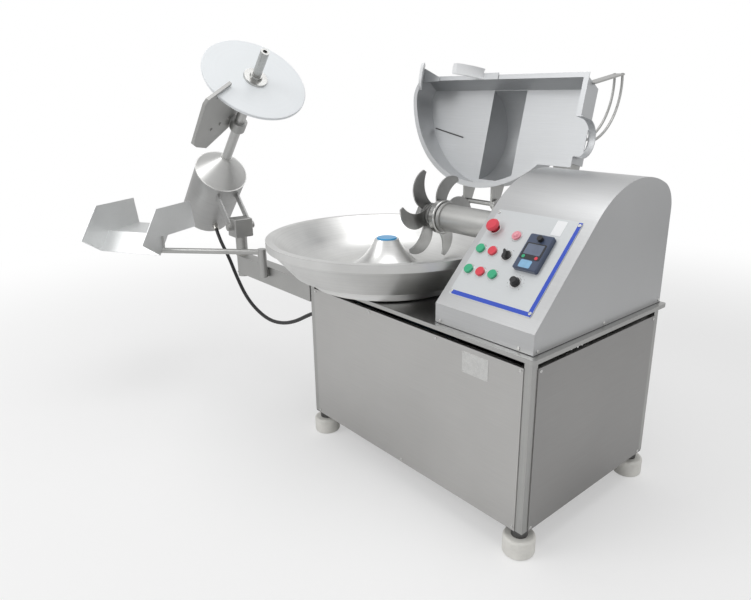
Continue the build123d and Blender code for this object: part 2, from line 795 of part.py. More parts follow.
gearbox -= rod_z(bowl_x, bowl_y, spindle_bottom - past, gearbox_top + past, spindle_radius + running_gap)
gear_motor = rod_x(gearbox_right - past, gearbox_right + gear_motor_length,
                   bowl_y + gearbox_half - gear_motor_radius, gearbox_top - gearbox_height / 2,
                   gear_motor_radius)
gearbox += fillet(gear_motor.edges().group_by(Axis.X)[-1], gearbox_round)
gearbox += block(gearbox_left, gearbox_left + gearbox_bracket_wall, bowl_y - gearbox_half,
                 bowl_y + gearbox_half, gearbox_top - gearbox_height / 2, table_under_z)
write("bowl_gear_motor", gearbox)

# ---- knife head: shaft, six sickle knives, spacers, nut ---------------------------------------
knife_step = knife_pitch - knife_wall
stack_start = flange_x - len(knife_angles) * knife_pitch
shaft = rod_x(stack_start - nut_length - shaft_tip, shaft_end, knife_y, knife_z, shaft_radius)
shaft = chamfer(shaft.edges().group_by(Axis.X)[0], shaft_chamfer)
knife_flange = rod_x(flange_x, flange_x + flange_wall, knife_y, knife_z, flange_radius)
knife_flange = fillet(knife_flange.edges().group_by(Axis.X)[-1], flange_round)
write("knife_shaft", shaft + knife_flange)

tip_lag = math.radians(knife_tip_lag)
root_front = (knife_root_out, knife_root_front)
root_back = (knife_root_out, knife_root_back)
tip_front = (knife_radius * math.cos(tip_lag), -knife_radius * math.sin(tip_lag))
tip_back = (tip_front[0] - knife_tip_width[0], tip_front[1] - knife_tip_width[1])
blade_outline = ThreePointArc(root_front, knife_bow_front, tip_front) + Line(tip_front, tip_back)
blade_outline += ThreePointArc(tip_back, knife_bow_back, root_back) + Line(root_back, root_front)
knife_face = make_face(blade_outline) + Circle(knife_eye_radius) - Circle(shaft_radius)
spacer_face = Circle(spacer_radius) - Circle(shaft_radius)
knives = []
spacers = []
for index, angle in enumerate(knife_angles):
    knife_start = stack_start + knife_step + index * knife_pitch
    knife_plane = Plane.YZ.offset(knife_start) * Pos(knife_y, knife_z) * Rot(0, 0, angle)
    knives.append(extrude(knife_plane * knife_face, knife_wall))
    spacer_plane = Plane.YZ.offset(knife_start - knife_step) * Pos(knife_y, knife_z)
    spacers.append(extrude(spacer_plane * spacer_face, knife_step))
write("knives", *knives)
nut = RegularPolygon(nut_radius, 6) - Circle(shaft_radius)
spacers.append(extrude(Plane.YZ.offset(stack_start - nut_length) * Pos(knife_y, knife_z) * nut, nut_length))
write("knife_spacers_and_nut", *spacers)

# ---- knife head: fixed arm, bearings, belts, motor --------------------------------------------
arm = rod_x(arm_start, pedestal_end, knife_y, knife_z, arm_radius)
arm += rod_x(arm_start, arm_start + arm_ring_length, knife_y, knife_z, arm_ring_radius)
arm -= block(lid_right - arm_relief_length, lid_right + arm_relief_length, knife_y - arm_radius,
             knife_y + arm_radius, knife_z - arm_ring_radius, knife_z - arm_relief)
foot_half = pedestal_base / 2
pedestal = plate_x([(knife_y - foot_half, table_top_z), (knife_y + foot_half, table_top_z),
                    (knife_y + pedestal_top, knife_z), (knife_y - pedestal_top, knife_z)],
                   pedestal_start, pedestal_end)
arm += pedestal + rod_x(pedestal_start, pedestal_end, knife_y, knife_z, pedestal_top)
arm -= rod_x(arm_start - past, pedestal_end + past, knife_y, knife_z, arm_bore)
write("arm_tube", arm)

bearings = []
spindle_ring = Circle(bearing_radius) - Circle(spindle_radius + running_gap)
for low in (housing_bottom + bearing_inset, housing_top - bearing_inset - bearing_height):
    bearings.append(Pos(bowl_x, bowl_y, low) * extrude(spindle_ring, bearing_height))
shaft_ring = Circle(arm_bore) - Circle(shaft_radius + running_gap)
for left in (arm_start + bearing_inset, (arm_start + pedestal_end) / 2,
             pedestal_end - bearing_inset - bearing_height):
    bearings.append(Pos(left, knife_y, knife_z) * Rot(0, 90, 0) * extrude(shaft_ring, bearing_height))
write("shaft_bearings", *bearings)

groove_pitch = pulley_length / groove_count
groove_starts = [pulley_start + (index + 0.5) * groove_pitch - groove_width / 2
                 for index in range(groove_count)]


def grooved_pulley(z, radius):
    """A pulley about an X axis at height z, with one square groove for each belt."""
    pulley = rod_x(pulley_start, pulley_end, knife_y, z, radius)
    for start in groove_starts:
        groove = rod_x(start, start + groove_width, knife_y, z, radius + past)
        pulley -= groove - rod_x(start, start + groove_width, knife_y, z, radius - groove_depth)
    return pulley


knife_pulley = grooved_pulley(knife_z, knife_pulley_radius)
knife_pulley -= rod_x(pulley_start - past, pulley_end + past, knife_y, knife_z, shaft_radius)
write("knife_pulley", knife_pulley)
motor_shaft_start = motor_end - motor_shaft_depth
motor_pulley = grooved_pulley(motor_z, motor_pulley_radius)
motor_pulley += rod_x(motor_shaft_start, pulley_start + past, knife_y, motor_z, motor_shaft_radius)
write("motor_pulley", motor_pulley)

motor = rod_x(motor_start, motor_end, knife_y, motor_z, motor_radius)
motor = fillet(motor.edges().filter_by(GeomType.CIRCLE), motor_round)
for index in range(motor_fin_count):
    gap = Pos(motor_start + motor_length / 2, 0, motor_radius) * Box(motor_fin_length, motor_fin_gap,
                                                                     2 * motor_fin_depth)
    motor -= Pos(0, knife_y, motor_z) * Rot(360 / motor_fin_count * index, 0, 0) * gap
motor += block(motor_start + motor_foot_inset, motor_end - motor_foot_inset, knife_y - motor_foot_half,
               knife_y + motor_foot_half, floor_wall, floor_wall + motor_foot_height)
motor += block(motor_start + terminal_box_start, motor_end - terminal_box_end,
               knife_y - motor_radius - terminal_box_reach, knife_y, motor_z - terminal_box_half,
               motor_z + terminal_box_half)
motor -= rod_x(motor_shaft_start - past, motor_end + past, knife_y, motor_z, motor_shaft_radius + running_gap)
write("main_motor", motor)


def belt_face(extra):
    """The area inside a belt, at a height extra above the bottoms of the grooves."""
    top = knife_pulley_radius - groove_depth + extra
    low = motor_pulley_radius - groove_depth + extra
    rise = (low - top) / (knife_z - motor_z)
    side = math.sqrt(1 - rise ** 2)
    top_right = (knife_y + top * side, knife_z + top * rise)
    top_left = (knife_y - top * side, knife_z + top * rise)
    low_right = (knife_y + low * side, motor_z + low * rise)
    low_left = (knife_y - low * side, motor_z + low * rise)
    outline = ThreePointArc(top_right, (knife_y, knife_z + top), top_left) + Line(top_left, low_left)
    outline += ThreePointArc(low_left, (knife_y, motor_z - low), low_right) + Line(low_right, top_right)
    return make_face(outline)


belt_section = belt_face(belt_gap + belt_wall) - belt_face(belt_gap)
belts = [extrude(Plane.YZ.offset(start + (groove_width - belt_width) / 2) * belt_section, belt_width)
         for start in groove_starts]
write("v_belts", *belts)

# ---- lid, drawn closed and then turned open about its hinge -----------------------------------
hinge_axis = Axis((0, hinge_y, hinge_z), (1, 0, 0))
cover_y = knife_y + lid_cover_shift


def opened(shape):
    """Turns a piece of the closed lid to the open rest position."""
    return shape.rotate(hinge_axis, -lid_open_angle)


def lid_outline(inset):
    """The lid's D-shaped plan: straight front and right side, a step, then an arc round the back."""
    radius = lid_radius - inset
    front = lid_front + inset
    right = lid_right - inset
    step = lid_step_y - inset
    step_x = bowl_x + math.sqrt(radius ** 2 - (step - bowl_y) ** 2)
    front_x = bowl_x - math.sqrt(radius ** 2 - (front - bowl_y) ** 2)
    outline = Polyline((front_x, front), (right, front), (right, step), (step_x, step))
    outline += ThreePointArc((step_x, step), (bowl_x, bowl_y + radius), (front_x, front))
    face = make_face(outline)
    corner = face.vertices().sort_by(Axis.X)[0]
    return fillet(corner, lid_corner - inset)


def lid_body(inset):
    """The lid's solid form, made smaller on every side by inset and open below when it is."""
    low = lid_rim_z - (past if inset else 0)
    high = lid_top_z - inset
    lean = lid_slant / lid_depth
    front = lid_front + inset * math.sqrt(1 + lean ** 2)
    body = Pos(0, 0, low) * extrude(lid_outline(inset), high - low)
    body &= plate_x([(front + lean * (low - lid_rim_z), low), (front + lean * (high - lid_rim_z), high),
                     (hinge_y, high), (hinge_y, low)], -bowl_radius, cabinet_length)
    above = block(-bowl_radius, cabinet_length, 0, cabinet_length, low, 2 * lid_top_z)
    hump = rod_x(bowl_x + hump_reach[0] + inset, bowl_x + hump_reach[1] - inset, cover_y, knife_z,
                 hump_radius - inset)
    bore = collar_radius + lid_wall - inset
    collar_left = lid_right - 2 * lid_wall
    collar_end = collar_right + inset
    collar = rod_x(collar_left, collar_end, cover_y, knife_z, bore)
    collar += block(collar_left, collar_end, cover_y - bore, cover_y + bore, low - inset, knife_z)
    return body + (hump & above) + (collar & above)


lid_solid = lid_body(0)
flange = Pos(0, 0, lid_rim_z) * extrude(lid_outline(-lid_flange), lid_wall)
flange &= block(-bowl_radius, collar_right, lid_front, hinge_y, lid_rim_z, lid_top_z)
lid_shell = (lid_solid + flange) - lid_body(lid_wall)
lid_shell += block(bowl_x - lid_radius + flange_return_start, lid_right - lid_wall / 2, lid_front + past,
                   lid_front + lid_flange, lid_rim_z, lid_rim_z + lid_wall)
write("lid_shell", opened(lid_shell))

handle_foot = (lid_front + handle_foot_back, lid_top_z - handle_foot_sink)
handle_crown = (lid_front + handle_crown_back, lid_top_z + handle_crown_rise)
handle_end = (lid_front - handle_end_front, lid_top_z + handle_end_rise)
handle_left, handle_right = [lid_right + reach for reach in handle_reach]
strip_foot = (lid_front + handle_strip_back, lid_top_z - handle_strip_drop)
strip_end = (handle_end[0], handle_end[1] + handle_strip_top)
handle = plate_x([strip_foot, (strip_foot[0] + handle_strip_wall[0], strip_foot[1] + handle_strip_wall[1]),
                  (strip_end[0] + handle_strip_wall[0], strip_end[1] + handle_strip_wall[1]), strip_end],
                 handle_left - handle_strip_side, handle_right + handle_strip_side)
for x in (handle_left, handle_right):
    bow = ThreePointArc((x, *handle_foot), (x, *handle_crown), (x, *handle_end))
    handle += sweep(Plane(origin=bow @ 0, z_dir=bow % 0) * Circle(handle_rod_radius), bow)
handle -= lid_solid
handle = max(handle.solids(), key=lambda solid: solid.volume)
write("lid_handle", opened(handle))


def hinge_arm(y, x0, x1):
    """A tapered arm from the lid's wall at y to the hinge, with its boss."""
    arm = plate_x([(y, lid_rim_z + hinge_arm_low), (hinge_y, hinge_z - hinge_boss_radius),
                   (hinge_y, hinge_z + hinge_boss_radius), (y, lid_top_z - hinge_arm_high)], x0, x1)
    return arm + rod_x(x0, x1, hinge_y, hinge_z, hinge_boss_radius)


hinge_bore = rod_x(0, cabinet_length, hinge_y, hinge_z, hinge_pin_radius + running_gap)
left_ears = [bowl_x + reach for reach in left_ear_reach]
right_ears = [hood_left + reach for reach in right_ear_reach]
arms = [hinge_arm(bowl_y + lid_radius - hinge_arm_root, x, x + hinge_arm_wall)
        for x in (left_ears[0] + ear_wall + ear_gap, left_ears[1] - ear_gap - hinge_arm_wall)]
right_arm_left = right_ears[0] + ear_wall + ear_gap
right_arm_right = right_ears[1] - ear_gap
box_arm = hinge_arm(lid_step_y - lid_wall / 2, right_arm_left, right_arm_right)
box_low = hinge_z - hinge_boss_radius + box_arm_inset
box_high = hinge_z + hinge_boss_radius - box_arm_inset
box_end = hinge_y - hinge_boss_radius
box_arm -= plate_x([(lid_step_y, lid_rim_z + hinge_arm_low + lid_wall), (box_end, box_low),
                    (box_end, box_high), (lid_step_y, lid_top_z - hinge_arm_high - lid_wall)],
                   right_arm_left + lid_wall, right_arm_right - lid_wall)
arms.append(box_arm)
write("lid_hinge_arms", *[opened(arm - lid_solid - hinge_bore) for arm in arms])

# ---- scrapers that hang in the trough from the lid's front edge -------------------------------
wall_run = (rim_inner_r - wall_foot[0], bowl_rim_z - wall_foot[1])
wall_slant = math.hypot(*wall_run)
wall_normal = (-wall_run[1] / wall_slant, wall_run[0] / wall_slant)
scraper_top_z = lid_rim_z - scraper_bracket_wall


def trough_space(gap):
    """The trough's inside, a gap clear of its wall, up to the height of the scrapers' tops."""
    foot = (wall_foot[0] + gap * wall_normal[0], wall_foot[1] + gap * wall_normal[1])
    reach = (scraper_top_z - foot[1]) / wall_run[1]
    top_outer = (foot[0] + reach * wall_run[0], scraper_top_z)
    radius = trough_radius - gap
    drop = trough_centre_z - scraper_top_z
    top_inner = (trough_centre_r - math.sqrt(radius ** 2 - drop ** 2), scraper_top_z)
    outline = Line(top_outer, foot)
    outline += ThreePointArc(foot, (trough_centre_r, trough_centre_z - radius), top_inner)
    outline += Line(top_inner, top_outer)
    return Pos(bowl_x, bowl_y, 0) * revolve(Plane.XZ * make_face(outline), Axis.Z)


scraper_layer = trough_space(scraper_gap) - trough_space(scraper_gap + scraper_wall)
wall_scraper_plane = Plane.YZ.offset(bowl_x - bowl_radius) * Pos(bowl_y + wall_scraper_back, scraper_top_z)
wall_scraper_face = RectangleRounded(wall_scraper_width, 2 * wall_scraper_depth, wall_scraper_round)
wall_scraper = extrude(wall_scraper_plane * wall_scraper_face, bowl_radius - trough_centre_r)
wall_scraper = wall_scraper & scraper_layer
axis_place = Pos(bowl_x, bowl_y, 0)
cone_scraper = block(*cone_scraper_across, *cone_scraper_back, scraper_top_z - cone_scraper_depth,
                     scraper_top_z)
cone_scraper = axis_place * cone_scraper & scraper_layer
write("lid_scrapers", opened(wall_scraper), opened(cone_scraper))

wall_bracket = make_face(Polyline(*wall_bracket_outline, close=True))
wall_bracket = axis_place * Pos(0, 0, scraper_top_z) * extrude(wall_bracket, scraper_bracket_wall)
cone_bracket = axis_place * block(*cone_bracket_across, *cone_bracket_back, scraper_top_z, lid_rim_z)
write("lid_scraper_brackets", opened(wall_bracket), opened(cone_bracket))

# ---- hinge stand on the back of the table -----------------------------------------------------
ear_half = ear_depth / 2
stand_back = cabinet_depth + table_overhang - stand_edge
stand_front = stand_back - ear_depth
stand_base_z = table_top_z + stand_base
stand_knee = (hinge_z + table_top_z) / 2
stand_bar_z = hinge_z - hinge_boss_radius - stand_bar_drop
pieces = []
for left, right in (left_ears, right_ears):
    right_end = right + ear_wall
    stand = block(left - stand_base_side, right_end + stand_base_side, stand_front - stand_base_front,
                  stand_back, table_top_z, stand_base_z)
    for x in (left, right):
        stand += plate_x([(stand_front, stand_base_z), (stand_back, stand_base_z),
                          (hinge_y + ear_half, stand_knee), (hinge_y + ear_half, hinge_z),
                          (hinge_y - ear_half, hinge_z), (hinge_y - ear_half, stand_knee)],
                         x, x + ear_wall)
        stand += rod_x(x, x + ear_wall, hinge_y, hinge_z, ear_half)
    stand += rod_x(left + ear_wall / 2, right + ear_wall / 2, hinge_y, stand_bar_z, stand_bar_radius)
    pin = rod_x(left - pin_proud, right_end + pin_proud, hinge_y, hinge_z, hinge_pin_radius)
    pieces.append(stand - pin)
    pieces.append(pin)
write("lid_hinge_stand", *pieces)

# ---- unloader: beam, post, swivel block -------------------------------------------------------
beam = block(post_x, 0, 0, beam_width, beam_low, beam_high)
beam -= block(post_x, -beam_foot_wall, beam_wall, beam_width - beam_wall, beam_low + beam_wall,
              beam_high - beam_wall)
beam -= rod_z(post_x, post_y, beam_low - past, beam_high + past, post_radius - past)
beam += block(-beam_foot_wall, 0, 0, beam_foot_depth, beam_low, beam_high)
beam += rod_z(post_x, post_y, post_bottom, post_top, post_radius)
beam -= rod_z(post_x, post_y, post_top - spigot_length - spigot_end_gap, post_top + past,
              spigot_radius + running_gap)
beam += rod_z(chute_x, chute_y, boss_low, boss_high, boss_radius)
beam += block(chute_x - boss_web_wall / 2, chute_x + boss_web_wall / 2, chute_y, 0, boss_web_low, beam_high)
chute_pin_low = boss_low + boss_floor
beam -= rod_z(chute_x, chute_y, chute_pin_low - past, boss_high + past, chute_pin_radius + running_gap)
write("unloader_beam", beam)

swing_frame = Pos(post_x, post_y, 0) * Rot(0, 0, swing_at_rest)
block_low = post_top + block_gap
swivel = Pos(0, 0, block_low + block_height / 2) * Box(block_length, block_width, block_height)
swivel = chamfer(swivel.edges(), block_chamfer)
swivel += rod_z(0, 0, post_top - spigot_length, block_low + block_chamfer, spigot_radius)
head_near = block_width / 2 + link_gap + link_wall + link_gap
tilt_bolt = rod_y(0, -head_near - block_chamfer, head_near + block_chamfer, tilt_z, tilt_bolt_radius)
swivel -= tilt_bolt
for side in (-1, 1):
    head = sorted((side * head_near, side * (head_near + tilt_head_height)))
    tilt_bolt += rod_y(0, *head, tilt_z, tilt_head_radius)
write("swivel_block", swing_frame * swivel, swing_frame * tilt_bolt)

# ---- unloader: casing, links, shaft cone, gear motor, in the frame of the tilting arm ---------
tilt_frame = swing_frame * Pos(0, 0, tilt_z) * Rot(0, -tilt_at_rest, 0)
axis_frame = tilt_frame * Pos(0, 0, disc_axis_rise)


def turned_x(points):
    """A solid of revolution about X, from a list of (x, radius) corners."""
    return revolve(Plane.XZ * make_face(Polyline(*points, close=True)), Axis.X)


casing_low = casing_rim_x - casing_length
casing_outer = rod_x(casing_low, casing_rim_x, 0, 0, casing_radius)
casing_outer = fillet(casing_outer.edges().group_by(Axis.X)[0], casing_round)
casing_bore = casing_radius - casing_wall
casing_inner = rod_x(casing_low + casing_wall, casing_rim_x, 0, 0, casing_bore)
casing_inner = fillet(casing_inner.edges().group_by(Axis.X)[0], casing_round - casing_wall)
gland_frame = Pos(casing_gland_x, 0, 0) * Rot(casing_gland_angle, 0, 0)
gland_frame = gland_frame * Pos(0, casing_radius, 0) * Rot(-90, 0, 0)
gland_hole = gland_frame * Cylinder(cable_radius + hole_gap, 6 * casing_wall)
write("unloader_casing", axis_frame * (casing_outer - casing_inner - gland_hole))

links = []
for side in (-1, 1):
    near = block_width / 2 + link_gap
    ys = sorted((side * near, side * (near + link_wall)))
    link = block(-link_width / 2, link_width / 2, *ys, 0, disc_axis_rise - casing_radius / 2)
    link += rod_y(0, *ys, 0, link_width / 2)
    link -= rod_y(0, *ys, 0, tilt_bolt_radius + running_gap)
    links.append(tilt_frame * (link - Pos(0, 0, disc_axis_rise) * casing_outer))
write("unloader_links", *links)

rim_end = casing_rim_x + cone_rim_width
rim_bore = cone_rim_radius - cone_rim_step
cone_end = casing_rim_x + cone_length
neck_end = cone_end + cone_neck
tip_radius = cone_tip_radius + cone_neck_wall
tube_end = disc_x - disc_gap
cone = turned_x([(casing_rim_x, tube_bore), (casing_rim_x, cone_rim_radius), (rim_end, cone_rim_radius),
                 (rim_end, rim_bore), (cone_end, tip_radius), (neck_end, tip_radius),
                 (neck_end, tube_radius), (tube_end, tube_radius), (tube_end, tube_bore),
                 (cone_end - cone_tip_wall, tube_bore), (cone_end - cone_tip_wall, cone_tip_radius),
                 (casing_rim_x + cone_wall, rim_bore - cone_wall), (casing_rim_x + cone_wall, tube_bore)])
write("shaft_cone_and_tube", axis_frame * cone)

bore_end = casing_rim_x - disc_motor_bore
flange_near = casing_rim_x - disc_motor_flange
disc_motor_low = casing_low + disc_motor_start
disc_motor = turned_x([(disc_motor_low, 0), (disc_motor_low, disc_motor_radius),
                       (flange_near, disc_motor_radius), (flange_near, casing_bore),
                       (casing_rim_x, casing_bore), (casing_rim_x, tube_bore), (bore_end, tube_bore),
                       (bore_end, 0)])
write("disc_gear_motor", axis_frame * disc_motor)

gland_foot = -casing_wall / 3
gland = Pos(0, 0, gland_foot) * Cylinder(gland_radius, gland_length - gland_foot, align=standing)
gland -= Cylinder(cable_radius, 2 * (gland_length - gland_wall))
write("casing_gland", axis_frame * (gland_frame * gland - casing_outer))

# ---- unloader: disc, its hub and shaft --------------------------------------------------------
disc_face_x = disc_x + disc_wall
hub_face_x = disc_face_x + disc_hub_wall
nut_face_x = hub_face_x + disc_nut_height
stub_end = disc_face_x + disc_stub_length
shaft_low = bore_end + shaft_end_gap
seat_x = disc_x - disc_gap / 2
disc_shaft = turned_x([(shaft_low, 0), (shaft_low, disc_shaft_radius), (seat_x, disc_shaft_radius),
                       (seat_x, disc_stub_radius), (disc_face_x, disc_stub_radius),
                       (disc_face_x, disc_hub_radius), (hub_face_x, disc_hub_radius - disc_hub_bevel),
                       (hub_face_x, disc_nut_radius), (nut_face_x, disc_nut_radius - disc_nut_bevel),
                       (nut_face_x, disc_stub_radius), (stub_end, disc_stub_radius),
                       (stub_end, stub_bore_radius), (stub_end - stub_bore_depth, stub_bore_radius),
                       (stub_end - stub_bore_depth, 0)])
write("disc_shaft_and_hub", axis_frame * disc_shaft)
disc = rod_x(disc_x, disc_face_x, 0, 0, disc_radius)
disc = fillet(disc.edges().filter_by(GeomType.CIRCLE), disc_wall / 4)
disc -= rod_x(disc_x - past, disc_face_x + past, 0, 0, disc_stub_radius)
write("unloading_disc", axis_frame * disc)

# ---- unloader: scraper plate that straddles the disc's edge -----------------------------------
blade_turn = axis_frame * Rot(blade_angle, 0, 0)
blade_frame = blade_turn * Pos(0, 0, -blade_offset - blade_wall / 2)
slot_near = disc_x - blade_gap
slot_far = disc_face_x + blade_gap
slot_depth = disc_radius + blade_gap
blade_far = slot_far + blade_lip
blade = make_face(Polyline((slot_far, blade_near), (blade_far, blade_near),
                           (blade_far, blade_reach - blade_corner[1]),
                           (slot_far - blade_corner[0], blade_reach), (seam_high, blade_reach),
                           (seam_low, blade_low), (seam_low + blade_toe, blade_low), (slot_near, blade_near),
                           (slot_near, slot_depth), (slot_far, slot_depth), close=True))
write("scraper_blade", blade_frame * extrude(blade, blade_wall))
carrier = make_face(Polyline((seam_high, blade_reach), (carrier_top, blade_reach),
                             (carrier_corner[0], blade_reach - carrier_corner[1]),
                             (carrier_shoulder[0], blade_reach - carrier_shoulder[1]),
                             (carrier_heel, blade_low), (seam_low, blade_low), close=True))
clamp = rod_x(clamp_start, clamp_end, 0, 0, tube_radius + clamp_wall)
clamp += block(clamp_start, clamp_end, -clamp_half, clamp_half, -blade_offset + blade_wall / 2, 0)
clamp -= rod_x(clamp_start - past, clamp_end + past, 0, 0, tube_radius)
bolts = []
for share in carrier_bolt_shares:
    bolt_x = seam_low + (seam_high - seam_low) * share - carrier_bolt_inset
    bolt_w = blade_low + (blade_reach - blade_low) * share
    head = Cylinder(carrier_bolt_radius, carrier_bolt_height, align=standing)
    head = Pos(bolt_x, bolt_w, blade_wall) * head
    bolts.append(blade_frame * head)
write("scraper_carrier", blade_frame * extrude(carrier, blade_wall) + blade_turn * clamp, *bolts)

# ---- chute: pin, bar and bent tray with side walls --------------------------------------------
tray_frame = Pos(tray_x, tray_y, tray_z) * Rot(0, 0, tray_turn)
bend = math.radians(tray_bend)
tip = (-tray_front * math.cos(bend), -tray_front * math.sin(bend))
under_tip = (tip[0] + tray_wall * math.sin(bend), tip[1] - tray_wall * math.cos(bend))
under_bend = (tray_wall * math.tan(bend / 2), -tray_wall)
half_width = tray_width / 2
tray = plate_x([(tray_back, 0), (0, 0), tip, under_tip, under_bend, (tray_back, -tray_wall)],
               -half_width, half_width)
side_top_bend = (-tray_side * math.tan(bend / 2), tray_side)
side_top_tip = (tip[0] - tray_side * math.sin(bend) - tray_front_cut[0],
                tip[1] + tray_side * math.cos(bend) - tray_front_cut[1])
side_points = [(tray_back, -tray_wall), (tray_back - tray_side_slope, tray_side), side_top_bend, side_top_tip,
               tip, under_tip, under_bend]
for x0 in (-half_width, half_width - tray_wall):
    tray += plate_x(side_points, x0, x0 + tray_wall)
write("chute_tray", tray_frame * tray)

far_tip = tip[0] - tray_front
above_tray = plate_x([(tray_back, -tray_wall), under_bend, under_tip, (far_tip, under_tip[1]),
                      (far_tip, tray_back), (tray_back, tray_back)], -half_width, half_width)
bar_target = (tray_frame * Pos(0, tip[0] - bar_inset, 0)).position
bar_run = (bar_target.X - chute_x, bar_target.Y - chute_y)
bar_length = math.hypot(*bar_run)
bar_frame = Pos(chute_x, chute_y, chute_bar_z) * Rot(0, 0, math.degrees(math.atan2(bar_run[1], bar_run[0])))
bar = rod_x(0, bar_length, 0, 0, chute_bar_radius)
bar += block(bar_length - half_width - rib_overlap, bar_length, -rib_wall / 2, rib_wall / 2,
             0, tray_z - chute_bar_z)
chute_arm = bar_frame * bar - tray_frame * above_tray
chute_arm = max(chute_arm.solids(), key=lambda solid: solid.volume)
collar_top_z = chute_bar_z + chute_bar_radius + bar_cap
chute_arm += rod_z(chute_x, chute_y, boss_high + block_gap, collar_top_z, boss_radius)
chute_arm += rod_z(chute_x, chute_y, chute_pin_low, chute_bar_z, chute_pin_radius)
write("chute_arm", chute_arm)

# ---- cable from the casing to the cabinet -----------------------------------------------------
cabinet_gland = rod_x(-gland_length, 0, cabinet_gland_y, cabinet_gland_z, gland_radius)
cabinet_gland -= rod_x(-gland_length + gland_wall, past, cabinet_gland_y, cabinet_gland_z,
                       cable_radius + hole_gap)
write("cabinet_gland", cabinet_gland)
cable_exit = (axis_frame * gland_frame * Pos(0, 0, gland_length)).position
cable_turn = (axis_frame * gland_frame * Pos(0, 0, gland_length + exit_run)).position
cable_end = Vector(-gland_length, cabinet_gland_y, cabinet_gland_z)
last_corner = cable_end - Vector(cable_last_run, 0, 0)
route = [cable_exit, cable_turn] + [Vector(*point) for point in cable_middle] + [last_corner, cable_end]
radii = []
for before, here, after in zip(route, route[1:], route[2:]):
    turn = math.radians((here - before).get_angle(after - here))
    shorter = min((here - before).length, (after - here).length)
    radii.append(0.45 * shorter / math.tan(turn / 2))
cable_path = FilletPolyline(*route, radius=radii)
cable = sweep(Plane(origin=cable_path @ 0, z_dir=cable_path % 0) * Circle(cable_radius), cable_path)
write("unloader_cable", cable)
cable_volume = math.pi * cable_radius ** 2 * cable_path.length
print("cable bend radii", [round(radius) for radius in radii])
print("cable length", round(cable_path.length), "volume share", round(cable.volume / cable_volume, 4))
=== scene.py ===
"""The finish of a bowl cutter: brushed and blasted stainless steel, cast and turned pieces, plastics, a
rubber cable, and the small fittings that are riveted, glued or screwed on.  Everything is in metres."""
import json
import math

import bmesh
import bpy
from mathutils import Matrix, Vector


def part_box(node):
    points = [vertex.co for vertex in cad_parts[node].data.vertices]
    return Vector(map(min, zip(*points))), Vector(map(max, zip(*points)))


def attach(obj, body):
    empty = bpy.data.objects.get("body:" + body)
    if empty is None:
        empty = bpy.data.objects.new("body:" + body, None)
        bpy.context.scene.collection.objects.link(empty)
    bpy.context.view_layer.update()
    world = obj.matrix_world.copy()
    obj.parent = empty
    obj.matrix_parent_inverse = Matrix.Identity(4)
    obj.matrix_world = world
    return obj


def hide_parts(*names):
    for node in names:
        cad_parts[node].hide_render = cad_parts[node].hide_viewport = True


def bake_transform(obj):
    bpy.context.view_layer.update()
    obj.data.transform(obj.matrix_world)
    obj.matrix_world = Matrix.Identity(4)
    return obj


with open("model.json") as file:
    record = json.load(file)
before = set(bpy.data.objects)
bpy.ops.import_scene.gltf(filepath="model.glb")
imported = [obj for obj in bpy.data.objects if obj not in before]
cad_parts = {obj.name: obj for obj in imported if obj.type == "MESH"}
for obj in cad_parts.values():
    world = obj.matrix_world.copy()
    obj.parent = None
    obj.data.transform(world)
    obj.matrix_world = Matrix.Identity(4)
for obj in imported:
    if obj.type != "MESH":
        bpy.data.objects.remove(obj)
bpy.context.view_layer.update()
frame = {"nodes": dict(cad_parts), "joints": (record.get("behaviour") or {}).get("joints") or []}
part = frame["nodes"]
joint = {entry["name"]: entry for entry in frame["joints"]}
scene = bpy.context.scene
scene.view_settings.view_transform = "Standard"

# ---- Camera: looks down on the right front corner of the cabinet, a little above the bowl's rim.
camera_data = bpy.data.cameras.new("camera")
camera_data.sensor_width = 36.0
camera_data.lens = 29.982
camera_data.shift_x = -0.0451
camera_data.shift_y = -0.0078
camera = bpy.data.objects.new("camera", camera_data)
camera.location = (1.950, -1.3152, 1.3228)
camera.rotation_euler = (math.radians(72.474), 0.0, math.radians(47.671))
scene.collection.objects.link(camera)
scene.camera = camera

# ---- Room: an even white studio.  The eye sees full white, mirrored metal about three quarters of it and
# the light itself is half, and the floor fades into the white round it.
world = bpy.data.worlds.new("studio")
world.use_nodes = True
scene.world = world
sky = world.node_tree
ray = sky.nodes.new("ShaderNodeLightPath")
room_light = 0.50
strength = room_light
for kind, extra in (("Is Camera Ray", 0.50), ("Is Glossy Ray", 0.26), ("Is Transmission Ray", 0.50)):
    step = sky.nodes.new("ShaderNodeMath")
    step.operation = "MULTIPLY_ADD"
    step.inputs[1].default_value = extra
    sky.links.new(ray.outputs[kind], step.inputs[0])
    if strength is room_light:
        step.inputs[2].default_value = room_light
    else:
        sky.links.new(strength, step.inputs[2])
    strength = step.outputs[0]
sky.links.new(strength, sky.nodes["Background"].inputs["Strength"])
sky.nodes["Background"].inputs["Color"].default_value = (1.0, 1.0, 1.0, 1.0)

floor_mesh = bmesh.new()
bmesh.ops.create_circle(floor_mesh, cap_ends=True, segments=96, radius=14.0)
floor_data = bpy.data.meshes.new("floor")
floor_mesh.to_mesh(floor_data)
floor_mesh.free()
floor = bpy.data.objects.new("floor", floor_data)
floor.location = (0.5, 0.3, -0.0006)
scene.collection.objects.link(floor)
floor_paint = bpy.data.materials.new("floor_paint")
floor_paint.use_nodes = True
tree = floor_paint.node_tree
base = tree.nodes["Principled BSDF"]
base.inputs["Base Color"].default_value = (0.93, 0.93, 0.93, 1.0)
base.inputs["Roughness"].default_value = 0.8
base.inputs["Specular IOR Level"].default_value = 0.1
glow = tree.nodes.new("ShaderNodeEmission")
place = tree.nodes.new("ShaderNodeTexCoord")
reach = tree.nodes.new("ShaderNodeVectorMath")
reach.operation = "LENGTH"
fade = tree.nodes.new("ShaderNodeMapRange")
fade.interpolation_type = "SMOOTHSTEP"
